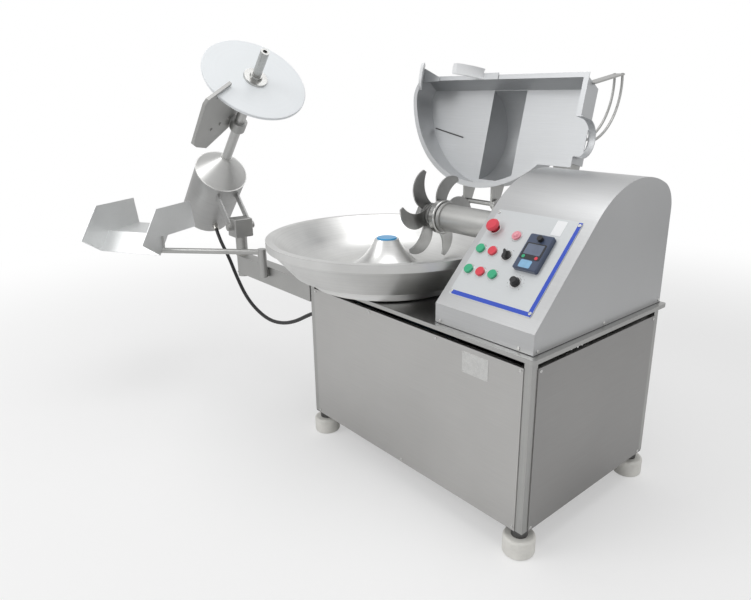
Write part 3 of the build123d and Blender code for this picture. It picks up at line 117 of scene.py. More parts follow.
fade.inputs["From Min"].default_value = 1.6
fade.inputs["From Max"].default_value = 4.5
fade.inputs["To Min"].default_value = 0.40
seen = tree.nodes.new("ShaderNodeLightPath")
seen_fade = tree.nodes.new("ShaderNodeMath")
seen_fade.operation = "MULTIPLY"
mix = tree.nodes.new("ShaderNodeMixShader")
tree.links.new(place.outputs["Object"], reach.inputs[0])
tree.links.new(reach.outputs["Value"], fade.inputs["Value"])
tree.links.new(fade.outputs["Result"], seen_fade.inputs[0])
tree.links.new(seen.outputs["Is Camera Ray"], seen_fade.inputs[1])
tree.links.new(seen_fade.outputs[0], mix.inputs[0])
tree.links.new(base.outputs[0], mix.inputs[1])
tree.links.new(glow.outputs[0], mix.inputs[2])
tree.links.new(mix.outputs[0], tree.nodes["Material Output"].inputs["Surface"])
floor_data.materials.append(floor_paint)


def soft_lamp(name, spot, aim, size, power):
    """A square soft box at spot that faces aim."""
    lamp = bpy.data.lights.new(name, "AREA")
    lamp.size = size
    lamp.energy = power
    holder = bpy.data.objects.new(name, lamp)
    holder.location = spot
    way = Vector(aim) - Vector(spot)
    holder.rotation_euler = way.to_track_quat("-Z", "Y").to_euler()
    scene.collection.objects.link(holder)


soft_lamp("key", (-1.2, -3.6, 3.6), (0.2, 0.2, 0.7), 2.4, 62.0)
soft_lamp("top", (0.6, 0.2, 4.2), (0.4, 0.3, 0.6), 2.6, 44.0)
soft_lamp("fill", (3.6, 1.0, 2.4), (0.5, 0.3, 0.6), 2.4, 5.0)

# ---- Cable: a black rubber-sheathed cable from the disc motor's casing to the cabinet's left side.
# It leaves its gland square to the casing, hangs in a slack bow, and enters the cabinet level.
cable_way = [(-0.86994, -0.00360, 0.71271), (-0.82739, -0.01060, 0.66817), (-0.764, -0.004, 0.596),
             (-0.714, 0.002, 0.510), (-0.647, 0.007, 0.427), (-0.554, 0.010, 0.378), (-0.444, 0.013, 0.356),
             (-0.333, 0.017, 0.371), (-0.234, 0.020, 0.408), (-0.152, 0.023, 0.453), (-0.104, 0.026, 0.477),
             (-0.060, 0.026, 0.477)]
cable_radius = 0.008


def cable_piece(name, way):
    """A stretch of cable along a smooth line through way, and the points of its centreline."""
    curve = bpy.data.curves.new(name + "_line", "CURVE")
    curve.dimensions = "3D"
    curve.resolution_u = 10
    line = curve.splines.new("NURBS")
    line.points.add(len(way) - 1)
    for knot, spot in zip(line.points, way):
        knot.co = (*spot, 1.0)
    line.order_u = 3
    line.use_endpoint_u = True
    holder = bpy.data.objects.new(name + "_line", curve)
    centre = bpy.data.meshes.new_from_object(holder)
    path = [tuple(vertex.co) for vertex in centre.vertices]
    curve.bevel_depth = cable_radius
    curve.bevel_resolution = 6
    curve.use_fill_caps = True
    tube = bpy.data.objects.new(name, bpy.data.meshes.new_from_object(holder))
    bpy.data.objects.remove(holder)
    scene.collection.objects.link(tube)
    return tube, path, sum(math.dist(*ends) for ends in zip(path, path[1:]))


# It is cut in two at the swivel, an upper piece and a lower one.
held = 5
hold = tuple((near + far) / 2.0 for near, far in zip(cable_way[held - 1], cable_way[held]))
upper_cable, upper_path, upper_length = cable_piece("upper_cable", cable_way[:held] + [hold])
lower_cable, lower_path, lower_length = cable_piece("lower_cable", [hold] + cable_way[held:])


def surface_grain():
    """The marks of rolling, brushing or blasting, and the cloudiness that handling leaves.
    Vector carries the fine marks, already stretched; Place carries the clouds."""
    group = bpy.data.node_groups.new("surface_grain", "ShaderNodeTree")
    sockets = group.interface
    sockets.new_socket("Vector", in_out="INPUT", socket_type="NodeSocketVector")
    sockets.new_socket("Place", in_out="INPUT", socket_type="NodeSocketVector")
    sockets.new_socket("Tint", in_out="INPUT", socket_type="NodeSocketColor")
    for name in ("Lines", "Clouds", "Cloud Scale", "Rough", "Rough Spread"):
        sockets.new_socket(name, in_out="INPUT", socket_type="NodeSocketFloat")
    sockets.new_socket("Color", in_out="OUTPUT", socket_type="NodeSocketColor")
    sockets.new_socket("Roughness", in_out="OUTPUT", socket_type="NodeSocketFloat")
    sockets.new_socket("Height", in_out="OUTPUT", socket_type="NodeSocketFloat")
    given = group.nodes.new("NodeGroupInput")
    result = group.nodes.new("NodeGroupOutput")
    fine = group.nodes.new("ShaderNodeTexNoise")
    fine.inputs["Scale"].default_value = 1.0
    fine.inputs["Detail"].default_value = 3.0
    cloud = group.nodes.new("ShaderNodeTexNoise")
    cloud.inputs["Detail"].default_value = 4.0
    link = group.links.new
    link(given.outputs["Vector"], fine.inputs["Vector"])
    link(given.outputs["Place"], cloud.inputs["Vector"])
    link(given.outputs["Cloud Scale"], cloud.inputs["Scale"])

    def sum_of(first, second, operation):
        node = group.nodes.new("ShaderNodeMath")
        node.operation = operation
        for socket, value in zip(node.inputs, (first, second)):
            if isinstance(value, float):
                socket.default_value = value
            else:
                link(value, socket)
        return node.outputs[0]

    fine_swing = sum_of(fine.outputs["Fac"], 0.5, "SUBTRACT")
    cloud_swing = sum_of(cloud.outputs["Fac"], 0.5, "SUBTRACT")
    lines = sum_of(fine_swing, given.outputs["Lines"], "MULTIPLY")
    clouds = sum_of(cloud_swing, given.outputs["Clouds"], "MULTIPLY")
    shade = sum_of(sum_of(lines, clouds, "ADD"), 1.0, "ADD")
    tint = group.nodes.new("ShaderNodeVectorMath")
    tint.operation = "SCALE"
    link(given.outputs["Tint"], tint.inputs[0])
    link(shade, tint.inputs["Scale"])
    spread = sum_of(cloud_swing, given.outputs["Rough Spread"], "MULTIPLY")
    link(tint.outputs[0], result.inputs["Color"])
    link(sum_of(sum_of(given.outputs["Rough"], spread, "ADD"), sum_of(lines, 0.2, "MULTIPLY"), "ADD"),
         result.inputs["Roughness"])
    link(fine.outputs["Fac"], result.inputs["Height"])
    return group


def ring_coordinates():
    """Distance from the Z axis and height, so that marks run in rings."""
    group = bpy.data.node_groups.new("ring_coordinates", "ShaderNodeTree")
    group.interface.new_socket("Vector", in_out="INPUT", socket_type="NodeSocketVector")
    group.interface.new_socket("Rings", in_out="OUTPUT", socket_type="NodeSocketVector")
    given = group.nodes.new("NodeGroupInput")
    result = group.nodes.new("NodeGroupOutput")
    split = group.nodes.new("ShaderNodeSeparateXYZ")
    flat = group.nodes.new("ShaderNodeCombineXYZ")
    length = group.nodes.new("ShaderNodeVectorMath")
    length.operation = "LENGTH"
    joined = group.nodes.new("ShaderNodeCombineXYZ")
    link = group.links.new
    link(given.outputs["Vector"], split.inputs[0])
    link(split.outputs["X"], flat.inputs["X"])
    link(split.outputs["Y"], flat.inputs["Y"])
    link(flat.outputs[0], length.inputs[0])
    link(length.outputs["Value"], joined.inputs["X"])
    link(split.outputs["Z"], joined.inputs["Z"])
    link(joined.outputs[0], result.inputs["Rings"])
    return group


grain_group = surface_grain()
ring_group = ring_coordinates()


def finish(name, tint, metal, rough, stretch=(300.0, 300.0, 300.0), lines=0.1, clouds=0.15, cloud_scale=3.0,
           spread=0.1, bump=0.02, axis=None, coat=0.0):
    """A material whose fine marks have the given stretch.  axis, as (place, turn), makes them rings about
    that line."""
    material = bpy.data.materials.new(name)
    material.use_nodes = True
    material.diffuse_color = (*tint, 1.0)
    nodes = material.node_tree.nodes
    link = material.node_tree.links.new
    shader = nodes["Principled BSDF"]
    shader.inputs["Metallic"].default_value = metal
    shader.inputs["Coat Weight"].default_value = coat
    shader.inputs["Coat Roughness"].default_value = 0.15
    where = nodes.new("ShaderNodeTexCoord").outputs["Object"]
    grain = nodes.new("ShaderNodeGroup")
    grain.node_tree = grain_group
    link(where, grain.inputs["Place"])
    if axis:
        centre = nodes.new("ShaderNodeMapping")
        centre.vector_type = "TEXTURE"
        centre.inputs["Location"].default_value = axis[0]
        centre.inputs["Rotation"].default_value = [math.radians(angle) for angle in axis[1]]
        rings = nodes.new("ShaderNodeGroup")
        rings.node_tree = ring_group
        link(where, centre.inputs["Vector"])
        link(centre.outputs[0], rings.inputs["Vector"])
        where = rings.outputs["Rings"]
    mapping = nodes.new("ShaderNodeMapping")
    mapping.inputs["Scale"].default_value = stretch
    link(where, mapping.inputs["Vector"])
    link(mapping.outputs[0], grain.inputs["Vector"])
    grain.inputs["Tint"].default_value = (*tint, 1.0)
    grain.inputs["Lines"].default_value = lines
    grain.inputs["Clouds"].default_value = clouds
    grain.inputs["Cloud Scale"].default_value = cloud_scale
    grain.inputs["Rough"].default_value = rough
    grain.inputs["Rough Spread"].default_value = spread
    relief = nodes.new("ShaderNodeBump")
    relief.inputs["Strength"].default_value = bump
    relief.inputs["Distance"].default_value = 0.001
    link(grain.outputs["Height"], relief.inputs["Height"])
    link(relief.outputs[0], shader.inputs["Normal"])
    link(grain.outputs["Color"], shader.inputs["Base Color"])
    link(grain.outputs["Roughness"], shader.inputs["Roughness"])
    return material


def axis_of(name):
    """The place and the turn in degrees of a joint's line, for a finish whose marks run round it."""
    turn = Vector(joint[name]["axis"]).to_track_quat("Z", "Y").to_euler()
    return joint[name]["pos_m"], [math.degrees(angle) for angle in turn]


def dress(material, *names):
    """Gives the named CAD pieces this material."""
    for name in names:
        piece = part[name]
        piece.data.materials.clear()
        piece.data.materials.append(material)


cable_rubber = finish("cable_rubber", (0.012, 0.012, 0.013), 0.0, 0.42, lines=0.3, spread=0.2, bump=0.15)
for piece, path, length in ((lower_cable, lower_path, lower_length), (upper_cable, upper_path, upper_length)):
    piece.data.materials.append(cable_rubber)
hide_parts("unloader_cable")
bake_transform(upper_cable)
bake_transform(lower_cable)
gland_brass = finish("nickelled_brass", (0.56, 0.55, 0.52), 1.0, 0.28, bump=0.05)
dress(gland_brass, "casing_gland", "cabinet_gland")

# ---- Cabinet: folded sheets of stainless steel, brushed along their length, screwed to a welded frame
# of square tube, with a plain pan for a floor.
long_sheet = finish("sheet_brushed_along_x", (0.52, 0.515, 0.505), 1.0, 0.36, stretch=(6.0, 500.0, 500.0),
                    lines=0.16, clouds=0.22, cloud_scale=2.2, spread=0.12, bump=0.05)
# The side sheets are the same steel as the front with a darker tint: painted shade on the sides that face
# away from the key lamp.
side_sheet_painted_shade = finish("sheet_brushed_along_y_painted_shade", (0.36, 0.355, 0.35), 1.0, 0.38, stretch=(500.0, 6.0, 500.0),
                    lines=0.16, clouds=0.22, cloud_scale=2.2, spread=0.12, bump=0.05)
tube_steel = finish("tube_steel", (0.44, 0.44, 0.43), 1.0, 0.33, stretch=(300.0, 300.0, 5.0), lines=0.2,
                    clouds=0.2, cloud_scale=5.0)
dress(long_sheet, "front_panel", "rear_panel", "floor_pan")
dress(side_sheet_painted_shade, "right_panel", "left_panel")
dress(tube_steel, "cabinet_frame")
table_steel = finish("table_steel", (0.44, 0.44, 0.43), 1.0, 0.34, stretch=(6.0, 400.0, 400.0), lines=0.16,
                     clouds=0.25, cloud_scale=4.0, bump=0.05)
dress(table_steel, "table_top")

# ---- Feet: turned white nylon pads, a little grubby, round a steel stem and its welded plate.
foot_nylon = finish("foot_nylon", (0.78, 0.77, 0.73), 0.0, 0.5, stretch=(90.0, 90.0, 300.0), lines=0.12,
                    clouds=0.4, cloud_scale=18.0, spread=0.2, bump=0.1)
stem_steel = finish("stem_steel", (0.13, 0.13, 0.13), 1.0, 0.45, lines=0.3, clouds=0.5, cloud_scale=20.0)
dress(foot_nylon, "foot_pads")
dress(stem_steel, "foot_stems")

# ---- Hood: one bent sheet with two flat sides welded in, brushed across; a thin dark bead runs round its foot,
# darkening the line where it stands on the table.
hood_steel = finish("hood_steel", (0.54, 0.545, 0.55), 1.0, 0.36, stretch=(6.0, 420.0, 420.0), lines=0.14,
                    clouds=0.18, cloud_scale=2.0, spread=0.1, bump=0.05)
dress(hood_steel, "hood")


def show(name, data, material, body):
    """Puts a finished mesh in the scene, on its body."""
    if material:
        data.materials.append(material)
    piece = bpy.data.objects.new(name, data)
    scene.collection.objects.link(piece)
    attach(piece, body)
    return piece


def swept(name, spots, radius, material, body, closed=False):
    """A round bead or rod along straight runs between the spots."""
    path = bpy.data.curves.new(name, "CURVE")
    path.dimensions = "3D"
    path.bevel_depth = radius
    path.bevel_resolution = 3
    path.use_fill_caps = True
    run = path.splines.new("POLY")
    run.points.add(len(spots) - 1)
    for knot, spot in zip(run.points, spots):
        knot.co = (*spot, 1.0)
    run.use_cyclic_u = closed
    holder = bpy.data.objects.new(name, path)
    data = bpy.data.meshes.new_from_object(holder)
    bpy.data.objects.remove(holder)
    return show(name, data, material, body)


# The dark bead round the hood's foot darkens the line where the hood stands on the table.
hood_foot_bead = finish("dark_hood_foot_bead", (0.10, 0.10, 0.105), 0.0, 0.5, lines=0.2, clouds=0.3, cloud_scale=30.0,
                 bump=0.1)
hood_low, hood_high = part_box("hood")
foot_line_radius = 0.0014
foot_line_z = hood_low[2] + 0.0008
swept("hood_foot_dark_line", [(hood_low[0], hood_low[1], foot_line_z), (hood_high[0], hood_low[1], foot_line_z),
                       (hood_high[0], hood_high[1], foot_line_z), (hood_low[0], hood_high[1], foot_line_z)],
      foot_line_radius, hood_foot_bead, "cabinet", closed=True)

# ---- Control plate: a clear-lacquered white sheet screwed to the hood, with a printed blue angle along
# its lower and right edges and a bare label strip.  The buttons' travel gives the slope it lies on.
lip_height = 0.063
press = joint["green_button_1_press"]["axis"]
slope = math.atan2(press[1], -press[2])
panel = Matrix.Translation((hood_low[0], hood_low[1], hood_low[2] + lip_height)) @ Matrix.Rotation(slope, 4,
                                                                                                   "X")
plate_top = 0.002


def slab(name, outline, low, high, edge, material, body="cabinet", place=panel):
    """A flat piece with the given outline in mm and a small bevel round its top, placed on the panel."""
    mesh = bmesh.new()
    corners = [Vector((x / 1000.0, y / 1000.0)) for x, y in outline]
    middle = sum(corners, Vector((0.0, 0.0))) / len(corners)
    levels = []
    for height, inset in ((low, 0.0), (high - edge, 0.0), (high, edge)):
        ring = []
        for corner in corners:
            way = (middle - corner).normalized() * inset
            ring.append(mesh.verts.new((corner.x + way.x, corner.y + way.y, height)))
        levels.append(ring)
    for under, over in zip(levels, levels[1:]):
        for index in range(len(corners)):
            following = (index + 1) % len(corners)
            mesh.faces.new((under[index], under[following], over[following], over[index]))
    mesh.faces.new(list(reversed(levels[0])))
    mesh.faces.new(levels[-1])
    bmesh.ops.recalc_face_normals(mesh, faces=mesh.faces)
    data = bpy.data.meshes.new(name)
    mesh.to_mesh(data)
    mesh.free()
    data.transform(place)
    return show(name, data, material, body)


def rounded(left, right, low, high, corner, steps=5):
    """The corners, in mm, of an upright rectangle with rounded corners."""
    spots = []
    for x, y, start in ((right - corner, high - corner, 0), (left + corner, high - corner, 90),
                        (left + corner, low + corner, 180), (right - corner, low + corner, 270)):
        for step in range(steps + 1):
            angle = math.radians(start + 90.0 * step / steps)
            spots.append((x + corner * math.cos(angle), y + corner * math.sin(angle)))
    return spots


plate_white = finish("lacquered_plate", (0.60, 0.62, 0.63), 0.35, 0.42, stretch=(10.0, 300.0, 300.0),
                     lines=0.05,
                     clouds=0.06, coat=0.3)
print_blue = finish("printed_blue", (0.012, 0.065, 0.52), 0.0, 0.35, lines=0.05, clouds=0.08,
                    cloud_scale=20.0,
                    coat=0.4)
label_white = finish("label_white", (0.86, 0.87, 0.88), 0.0, 0.4, lines=0.04, clouds=0.05, cloud_scale=20.0)
dress(plate_white, "control_plate")
slab("blue_angle", [(27.0, 58.0), (38.0, 44.0), (334.0, 44.0), (334.0, 364.0), (322.0, 364.0), (321.0, 57.0)],
     plate_top, plate_top + 0.0004, 0.0001, print_blue)
label_edges = (252.0, 286.0, 308.0, 360.0)
slab("label_strip", rounded(*label_edges, 2.0), plate_top, plate_top + 0.0003, 0.0001,
     label_white)

# ---- Push-buttons: moulded caps in satin metal bezels, a mushroom head, a domed lamp lens, black
# selector and speed knobs.
cap_green = finish("cap_green", (0.030, 0.42, 0.21), 0.0, 0.32, lines=0.03, clouds=0.08, cloud_scale=40.0,
                   coat=0.35)
cap_red = finish("cap_red", (0.72, 0.045, 0.075), 0.0, 0.32, lines=0.03, clouds=0.08, cloud_scale=40.0,
                 coat=0.35)
lens_pink = finish("lens_pink", (0.80, 0.30, 0.36), 0.0, 0.22, lines=0.02, clouds=0.12, cloud_scale=60.0,
                   coat=0.6)
knob_black = finish("knob_black", (0.018, 0.018, 0.020), 0.0, 0.38, lines=0.2, clouds=0.1, cloud_scale=40.0,
                    bump=0.06)
bezel_metal = finish("bezel_metal", (0.70, 0.70, 0.70), 1.0, 0.22, lines=0.05, clouds=0.05)
dress(cap_green, "green_button_1", "green_button_2", "green_button_3")
dress(cap_red, "red_button_1", "red_button_2", "emergency_stop")
dress(lens_pink, "signal_lamp")
dress(knob_black, "selector_knob", "speed_knob", "keypad_dial", "switch_blocks")
dress(bezel_metal, "button_bezels")


def tick_ring():
    """Geometry nodes: short raised ticks on an arc, all pointing at its centre."""
    tree = bpy.data.node_groups.new("tick_ring", "GeometryNodeTree")
    sockets = tree.interface
    for name, kind in (("Radius", "NodeSocketFloat"), ("Start", "NodeSocketFloat"),
                       ("Sweep", "NodeSocketFloat"),
                       ("Count", "NodeSocketInt"), ("Tick Size", "NodeSocketVector"),
                       ("Material", "NodeSocketMaterial")):
        sockets.new_socket(name, in_out="INPUT", socket_type=kind)
    sockets.new_socket("Geometry", in_out="OUTPUT", socket_type="NodeSocketGeometry")
    given = tree.nodes.new("NodeGroupInput")
    result = tree.nodes.new("NodeGroupOutput")
    arc = tree.nodes.new("GeometryNodeCurveArc")
    points = tree.nodes.new("GeometryNodeCurveToPoints")
    tick = tree.nodes.new("GeometryNodeMeshCube")
    spread = tree.nodes.new("GeometryNodeInstanceOnPoints")
    realize = tree.nodes.new("GeometryNodeRealizeInstances")
    paint = tree.nodes.new("GeometryNodeSetMaterial")
    link = tree.links.new
    link(given.outputs["Radius"], arc.inputs["Radius"])
    link(given.outputs["Start"], arc.inputs["Start Angle"])
    link(given.outputs["Sweep"], arc.inputs["Sweep Angle"])
    arc.inputs["Resolution"].default_value = 64
    link(arc.outputs["Curve"], points.inputs["Curve"])
    link(given.outputs["Count"], points.inputs["Count"])
    link(given.outputs["Tick Size"], tick.inputs["Size"])
    link(points.outputs["Points"], spread.inputs["Points"])
    link(tick.outputs["Mesh"], spread.inputs["Instance"])
    link(points.outputs["Rotation"], spread.inputs["Rotation"])
    link(spread.outputs["Instances"], realize.inputs["Geometry"])
    link(realize.outputs["Geometry"], paint.inputs["Geometry"])
    link(given.outputs["Material"], paint.inputs["Material"])
    link(paint.outputs["Geometry"], result.inputs["Geometry"])
    return tree


def grown(name, tree, values, place, body):
    """Runs a geometry tree with the given values and shows the plain mesh that it makes."""
    host = bpy.data.objects.new(name, bpy.data.meshes.new(name + "_seed"))
    scene.collection.objects.link(host)
    modifier = host.modifiers.new(name, "NODES")
    modifier.node_group = tree
    for item in tree.interface.items_tree:
        if item.in_out == "INPUT" and item.name in values:
            modifier[item.identifier] = values[item.name]
    bpy.context.view_layer.update()
    made = host.evaluated_get(bpy.context.evaluated_depsgraph_get())
    data = bpy.data.meshes.new_from_object(made)
    bpy.data.objects.remove(host)
    data.name = name
    data.transform(place)
    return show(name, data, None, body)


ticks = tick_ring()
on_plate = panel @ Matrix.Translation((0.0, 0.0, plate_top + 0.0001))
grown("speed_scale", ticks, {"Radius": 0.027, "Start": math.radians(-40), "Sweep": math.radians(260),
                             "Count": 11,
                             "Tick Size": (0.0006, 0.0002, 0.004), "Material": knob_black},
      on_plate @ Matrix.Translation((0.232, 0.132, 0.0)), "cabinet")
grown("selector_scale", ticks, {"Radius": 0.025, "Start": math.radians(60), "Sweep": math.radians(60),
                                "Count": 2,
                                "Tick Size": (0.0008, 0.0002, 0.005), "Material": knob_black},
      on_plate @ Matrix.Translation((0.152, 0.210, 0.0)), "cabinet")

# ---- Drive keypad: a blue-black moulded box with a glossy face, a grey display, a round start and a
# round stop key, and a pale blue pad under them.  Edges are left, right, low and high in mm.
keypad_blue = finish("keypad_blue", (0.055, 0.075, 0.13), 0.1, 0.35, lines=0.15, clouds=0.1, cloud_scale=30.0,
                     bump=0.05, coat=0.2)
face_black = finish("face_black", (0.010, 0.011, 0.016), 0.0, 0.14, lines=0.02, clouds=0.05, coat=0.6)
display_grey = finish("display_grey", (0.12, 0.15, 0.22), 0.0, 0.12, stretch=(900.0, 900.0, 900.0),
                      lines=0.25,
                      clouds=0.5, cloud_scale=35.0, coat=0.8)
pad_blue = finish("pad_blue", (0.24, 0.46, 0.68), 0.0, 0.3, lines=0.05, clouds=0.3, cloud_scale=60.0,
                  coat=0.3)
dress(keypad_blue, "drive_keypad")
keypad_top = plate_top + 0.016
face_edges = (207.0, 277.0, 206.0, 262.0)
display_edges = (213.0, 271.0, 222.0, 258.0)
pad_edges = (219.0, 259.0, 177.0, 203.0)
start_edges = (214.0, 225.0, 208.0, 219.0)
stop_edges = (259.0, 270.0, 208.0, 219.0)
key_round = 5.4
slab("keypad_face", rounded(*face_edges, 5.0), keypad_top, keypad_top + 0.0008, 0.0003,
     face_black)
slab("keypad_display", rounded(*display_edges, 2.0), keypad_top + 0.0008, keypad_top + 0.0012,
     0.0002,
     display_grey)
slab("keypad_pad", rounded(*pad_edges, 5.0), keypad_top, keypad_top + 0.0012, 0.0004,
     pad_blue)
slab("start_key", rounded(*start_edges, key_round), keypad_top + 0.0008, keypad_top + 0.0018,
     0.0004, cap_green)
slab("stop_key", rounded(*stop_edges, key_round), keypad_top + 0.0008, keypad_top + 0.0018, 0.0004,
     cap_red)

# ---- Nameplate: a thin bare etched plate, held to the front sheet by four rivets.
plate_metal = finish("nameplate_metal", (0.62, 0.62, 0.61), 1.0, 0.3, stretch=(300.0, 300.0, 300.0),
                     lines=0.3,
                     clouds=0.3, cloud_scale=60.0, bump=0.1)
front_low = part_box("front_panel")[0]
front = Matrix.Translation((0.0, front_low[1], 0.0)) @ Matrix.Rotation(math.radians(90.0), 4, "X")
nameplate_edges = (779.0, 881.0, 533.0, 601.0)
slab("nameplate", rounded(*nameplate_edges, 3.0), 0.0, 0.001, 0.0003, plate_metal, place=front)


def rivet_grid():
    """Geometry nodes: a grid of domed heads, all facing up."""
    tree = bpy.data.node_groups.new("rivet_grid", "GeometryNodeTree")
    sockets = tree.interface
    for name, kind in (("Width", "NodeSocketFloat"), ("Height", "NodeSocketFloat"),
                       ("Across", "NodeSocketInt"),
                       ("Up", "NodeSocketInt"), ("Head Radius", "NodeSocketFloat"),
                       ("Material", "NodeSocketMaterial")):
        sockets.new_socket(name, in_out="INPUT", socket_type=kind)
    sockets.new_socket("Geometry", in_out="OUTPUT", socket_type="NodeSocketGeometry")
    given = tree.nodes.new("NodeGroupInput")
    result = tree.nodes.new("NodeGroupOutput")
    grid = tree.nodes.new("GeometryNodeMeshGrid")
    head = tree.nodes.new("GeometryNodeMeshUVSphere")
    head.inputs["Segments"].default_value = 16
    head.inputs["Rings"].default_value = 8
    squash = tree.nodes.new("GeometryNodeTransform")
    squash.inputs["Scale"].default_value = (1.0, 1.0, 0.5)
    spread = tree.nodes.new("GeometryNodeInstanceOnPoints")
    realize = tree.nodes.new("GeometryNodeRealizeInstances")
    paint = tree.nodes.new("GeometryNodeSetMaterial")
    link = tree.links.new
    link(given.outputs["Width"], grid.inputs["Size X"])
    link(given.outputs["Height"], grid.inputs["Size Y"])
    link(given.outputs["Across"], grid.inputs["Vertices X"])
    link(given.outputs["Up"], grid.inputs["Vertices Y"])
    link(given.outputs["Head Radius"], head.inputs["Radius"])
    link(head.outputs["Mesh"], squash.inputs["Geometry"])
    link(grid.outputs["Mesh"], spread.inputs["Points"])
    link(squash.outputs["Geometry"], spread.inputs["Instance"])
    link(spread.outputs["Instances"], realize.inputs["Geometry"])
    link(realize.outputs["Geometry"], paint.inputs["Geometry"])
    link(given.outputs["Material"], paint.inputs["Material"])
    link(paint.outputs["Geometry"], result.inputs["Geometry"])
    return tree


screw_steel = finish("screw_steel", (0.60, 0.60, 0.59), 1.0, 0.25, lines=0.1, clouds=0.2, cloud_scale=60.0)
dress(screw_steel, "cover_screws")
grown("nameplate_rivets", rivet_grid(), {"Width": 0.094, "Height": 0.060, "Across": 2, "Up": 2,
                                         "Head Radius": 0.0024,
                                         "Material": screw_steel},
      front @ Matrix.Translation((0.830, 0.567, 0.001)), "cabinet")

# ---- Bowl: cast stainless steel, turned inside and out, so that its marks run in rings about its axis.
# The blue plastic cap in the cone covers the end of the spindle.
bowl_axis = axis_of("bowl_spin")
bowl_steel = finish("turned_bowl_steel", (0.72, 0.72, 0.71), 1.0, 0.36, stretch=(220.0, 1.0, 220.0),
                    lines=0.22,
                    clouds=0.35, cloud_scale=6.0, spread=0.14, bump=0.08, axis=bowl_axis)
cap_blue = finish("cap_blue", (0.012, 0.32, 0.66), 0.0, 0.3, lines=0.04, clouds=0.2, cloud_scale=30.0,
                  coat=0.3)
machined = finish("machined_steel", (0.46, 0.46, 0.45), 1.0, 0.28, stretch=(500.0, 1.0, 500.0), lines=0.2,
                  clouds=0.15, axis=bowl_axis)
dress(bowl_steel, "bowl")
dress(cap_blue, "bowl_cap")
dress(machined, "bowl_spindle", "bowl_bearing_housing")

# ---- Knife head: ground sickle knives on a turned shaft, inside a blasted arm with its bearings.
shaft_axis = axis_of("knife_spin")
knife_steel = finish("ground_knife_steel", (0.40, 0.40, 0.395), 1.0, 0.32, stretch=(60.0, 500.0, 40.0),
                     lines=0.3,
                     clouds=0.35, cloud_scale=14.0, spread=0.15, bump=0.05)
shaft_steel = finish("turned_shaft_steel", (0.48, 0.48, 0.47), 1.0, 0.26, stretch=(500.0, 1.0, 500.0),
                     lines=0.25,
                     axis=shaft_axis)
blasted = finish("blasted_steel", (0.46, 0.46, 0.45), 1.0, 0.48, stretch=(700.0, 700.0, 700.0), lines=0.35,
                 clouds=0.2, cloud_scale=8.0, spread=0.1, bump=0.15)
dress(knife_steel, "knives")
dress(shaft_steel, "knife_shaft", "knife_spacers_and_nut", "shaft_bearings")
dress(blasted, "arm_tube")

# ---- Drives inside the cabinet: painted motor and gear unit, cast pulleys, rubber V-belts.
motor_paint = finish("motor_paint", (0.10, 0.16, 0.21), 0.0, 0.45, lines=0.15, clouds=0.3, cloud_scale=12.0,
                     bump=0.2)
pulley_iron = finish("pulley_iron", (0.16, 0.16, 0.165), 0.8, 0.42, stretch=(500.0, 1.0, 500.0), lines=0.3,
                     axis=shaft_axis)
belt_rubber = finish("belt_rubber", (0.02, 0.02, 0.02), 0.0, 0.6, lines=0.4, clouds=0.3, cloud_scale=20.0,
                     bump=0.2)
dress(motor_paint, "main_motor", "bowl_gear_motor", "disc_gear_motor")
dress(pulley_iron, "knife_pulley", "motor_pulley")
dress(belt_rubber, "v_belts")

# ---- Lid: a welded stainless shell with a hump over the knives, its handle of bent rod, hinge arms,
# stand, and the white polyethylene scrapers it lowers into the trough.
lid_steel = finish("lid_steel", (0.56, 0.57, 0.58), 1.0, 0.52, stretch=(8.0, 350.0, 350.0), lines=0.14,
                   clouds=0.22,
                   cloud_scale=3.5, spread=0.1, bump=0.05)
arm_steel = finish("arm_steel", (0.46, 0.46, 0.45), 1.0, 0.36, stretch=(300.0, 300.0, 8.0), lines=0.2,
                   clouds=0.2,
                   cloud_scale=8.0)
scraper_white = finish("scraper_polyethylene", (0.80, 0.81, 0.82), 0.0, 0.45, stretch=(200.0, 200.0, 200.0),
                       lines=0.08,
                       clouds=0.1, cloud_scale=10.0, bump=0.08)
dress(lid_steel, "lid_shell", "lid_scraper_brackets")
dress(arm_steel, "lid_handle", "lid_hinge_arms", "lid_hinge_stand")
dress(scraper_white, "lid_scrapers")
hinge = Vector(joint["lid_hinge"]["pos_m"])
open_turn = Matrix.Translation(hinge) @ Matrix.Rotation(math.radians(-103.2), 4,
                                                        "X") @ Matrix.Translation(-hinge)
probe_radius = 0.0028
probe_z = 0.939 - probe_radius
probe_ends = [open_turn @ Vector(spot) for spot in ((-0.177, 0.380, probe_z), (0.0, 0.413, probe_z))]
swept("lid_probe", probe_ends, probe_radius, stem_steel, "lid")

# ---- Unloader: blasted casing with its motor inside, a spun cone, a bearing tube, and two links that
# tilt on a steel block; the beam and post are square and round tube welded together.
disc_axis = axis_of("disc_spin")
casing_steel = finish("casing_steel", (0.46, 0.46, 0.455), 1.0, 0.50, stretch=(600.0, 40.0, 600.0), lines=0.3,
                      clouds=0.25, cloud_scale=9.0, spread=0.1, bump=0.15, axis=disc_axis)
cone_steel = finish("cone_steel", (0.58, 0.58, 0.57), 1.0, 0.42, stretch=(400.0, 1.0, 400.0), lines=0.2,
                    clouds=0.15,
                    axis=disc_axis)
dress(casing_steel, "unloader_casing", "unloader_links")
dress(cone_steel, "shaft_cone_and_tube")
dress(blasted, "unloader_beam", "swivel_block", "scraper_carrier")


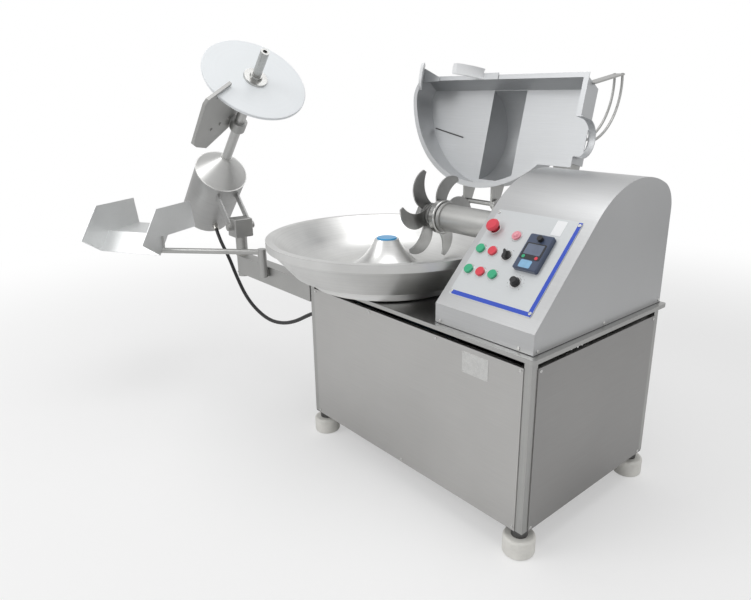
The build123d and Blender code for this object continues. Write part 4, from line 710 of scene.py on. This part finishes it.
def weld_ring():
    """Geometry nodes: a weld, as overlapping flat scales in a ring about Z."""
    tree = bpy.data.node_groups.new("weld_ring", "GeometryNodeTree")
    sockets = tree.interface
    for name, kind in (("Radius", "NodeSocketFloat"), ("Scales", "NodeSocketInt"),
                       ("Scale Radius", "NodeSocketFloat"),
                       ("Material", "NodeSocketMaterial")):
        sockets.new_socket(name, in_out="INPUT", socket_type=kind)
    sockets.new_socket("Geometry", in_out="OUTPUT", socket_type="NodeSocketGeometry")
    given = tree.nodes.new("NodeGroupInput")
    result = tree.nodes.new("NodeGroupOutput")
    ring = tree.nodes.new("GeometryNodeMeshCircle")
    scale = tree.nodes.new("GeometryNodeMeshUVSphere")
    scale.inputs["Segments"].default_value = 10
    scale.inputs["Rings"].default_value = 6
    spread = tree.nodes.new("GeometryNodeInstanceOnPoints")
    realize = tree.nodes.new("GeometryNodeRealizeInstances")
    paint = tree.nodes.new("GeometryNodeSetMaterial")
    link = tree.links.new
    link(given.outputs["Radius"], ring.inputs["Radius"])
    link(given.outputs["Scales"], ring.inputs["Vertices"])
    link(given.outputs["Scale Radius"], scale.inputs["Radius"])
    link(ring.outputs["Mesh"], spread.inputs["Points"])
    link(scale.outputs["Mesh"], spread.inputs["Instance"])
    link(spread.outputs["Instances"], realize.inputs["Geometry"])
    link(realize.outputs["Geometry"], paint.inputs["Geometry"])
    link(given.outputs["Material"], paint.inputs["Material"])
    link(paint.outputs["Geometry"], result.inputs["Geometry"])
    return tree


weld_metal = finish("weld_metal", (0.40, 0.39, 0.37), 1.0, 0.36, lines=0.2, clouds=0.4, cloud_scale=60.0)
weld_tree = weld_ring()
post_spot = Vector(joint["unloader_swing"]["pos_m"])
beam_top = 0.636
beam_under = 0.556
bead_ring = 0.0253
bead_scale = 0.0026
bead_count = 60
for name, height in (("post_weld_upper", beam_top), ("post_weld_lower", beam_under)):
    grown(name, weld_tree, {"Radius": bead_ring, "Scales": bead_count, "Scale Radius": bead_scale,
                            "Material": weld_metal},
          Matrix.Translation((post_spot.x, post_spot.y, height)), "cabinet")

# ---- Disc: a turned plate of white polyethylene clamped by a steel hub, with a scraper of thick
# plate that straddles its edge.
disc_white = finish("disc_polyethylene", (0.83, 0.86, 0.88), 0.0, 0.38, stretch=(260.0, 1.0, 260.0),
                    lines=0.04,
                    clouds=0.05, cloud_scale=5.0, bump=0.03, axis=disc_axis)
hub_steel = finish("hub_steel", (0.50, 0.50, 0.49), 1.0, 0.26, stretch=(500.0, 1.0, 500.0), lines=0.3,
                   clouds=0.3,
                   cloud_scale=40.0, axis=disc_axis)
blade_grey = finish("scraper_plate", (0.42, 0.42, 0.41), 0.6, 0.45, lines=0.1, clouds=0.15, cloud_scale=8.0,
                    bump=0.05)
dress(disc_white, "unloading_disc")
dress(hub_steel, "disc_shaft_and_hub")
dress(blade_grey, "scraper_blade")

# ---- Chute: bent blasted sheet on a round bar, which turns in a boss on the beam.
chute_steel = finish("chute_steel", (0.76, 0.77, 0.77), 1.0, 0.50, stretch=(500.0, 500.0, 500.0), lines=0.25,
                     clouds=0.2, cloud_scale=6.0, bump=0.1)
dress(chute_steel, "chute_tray")
dress(arm_steel, "chute_arm")
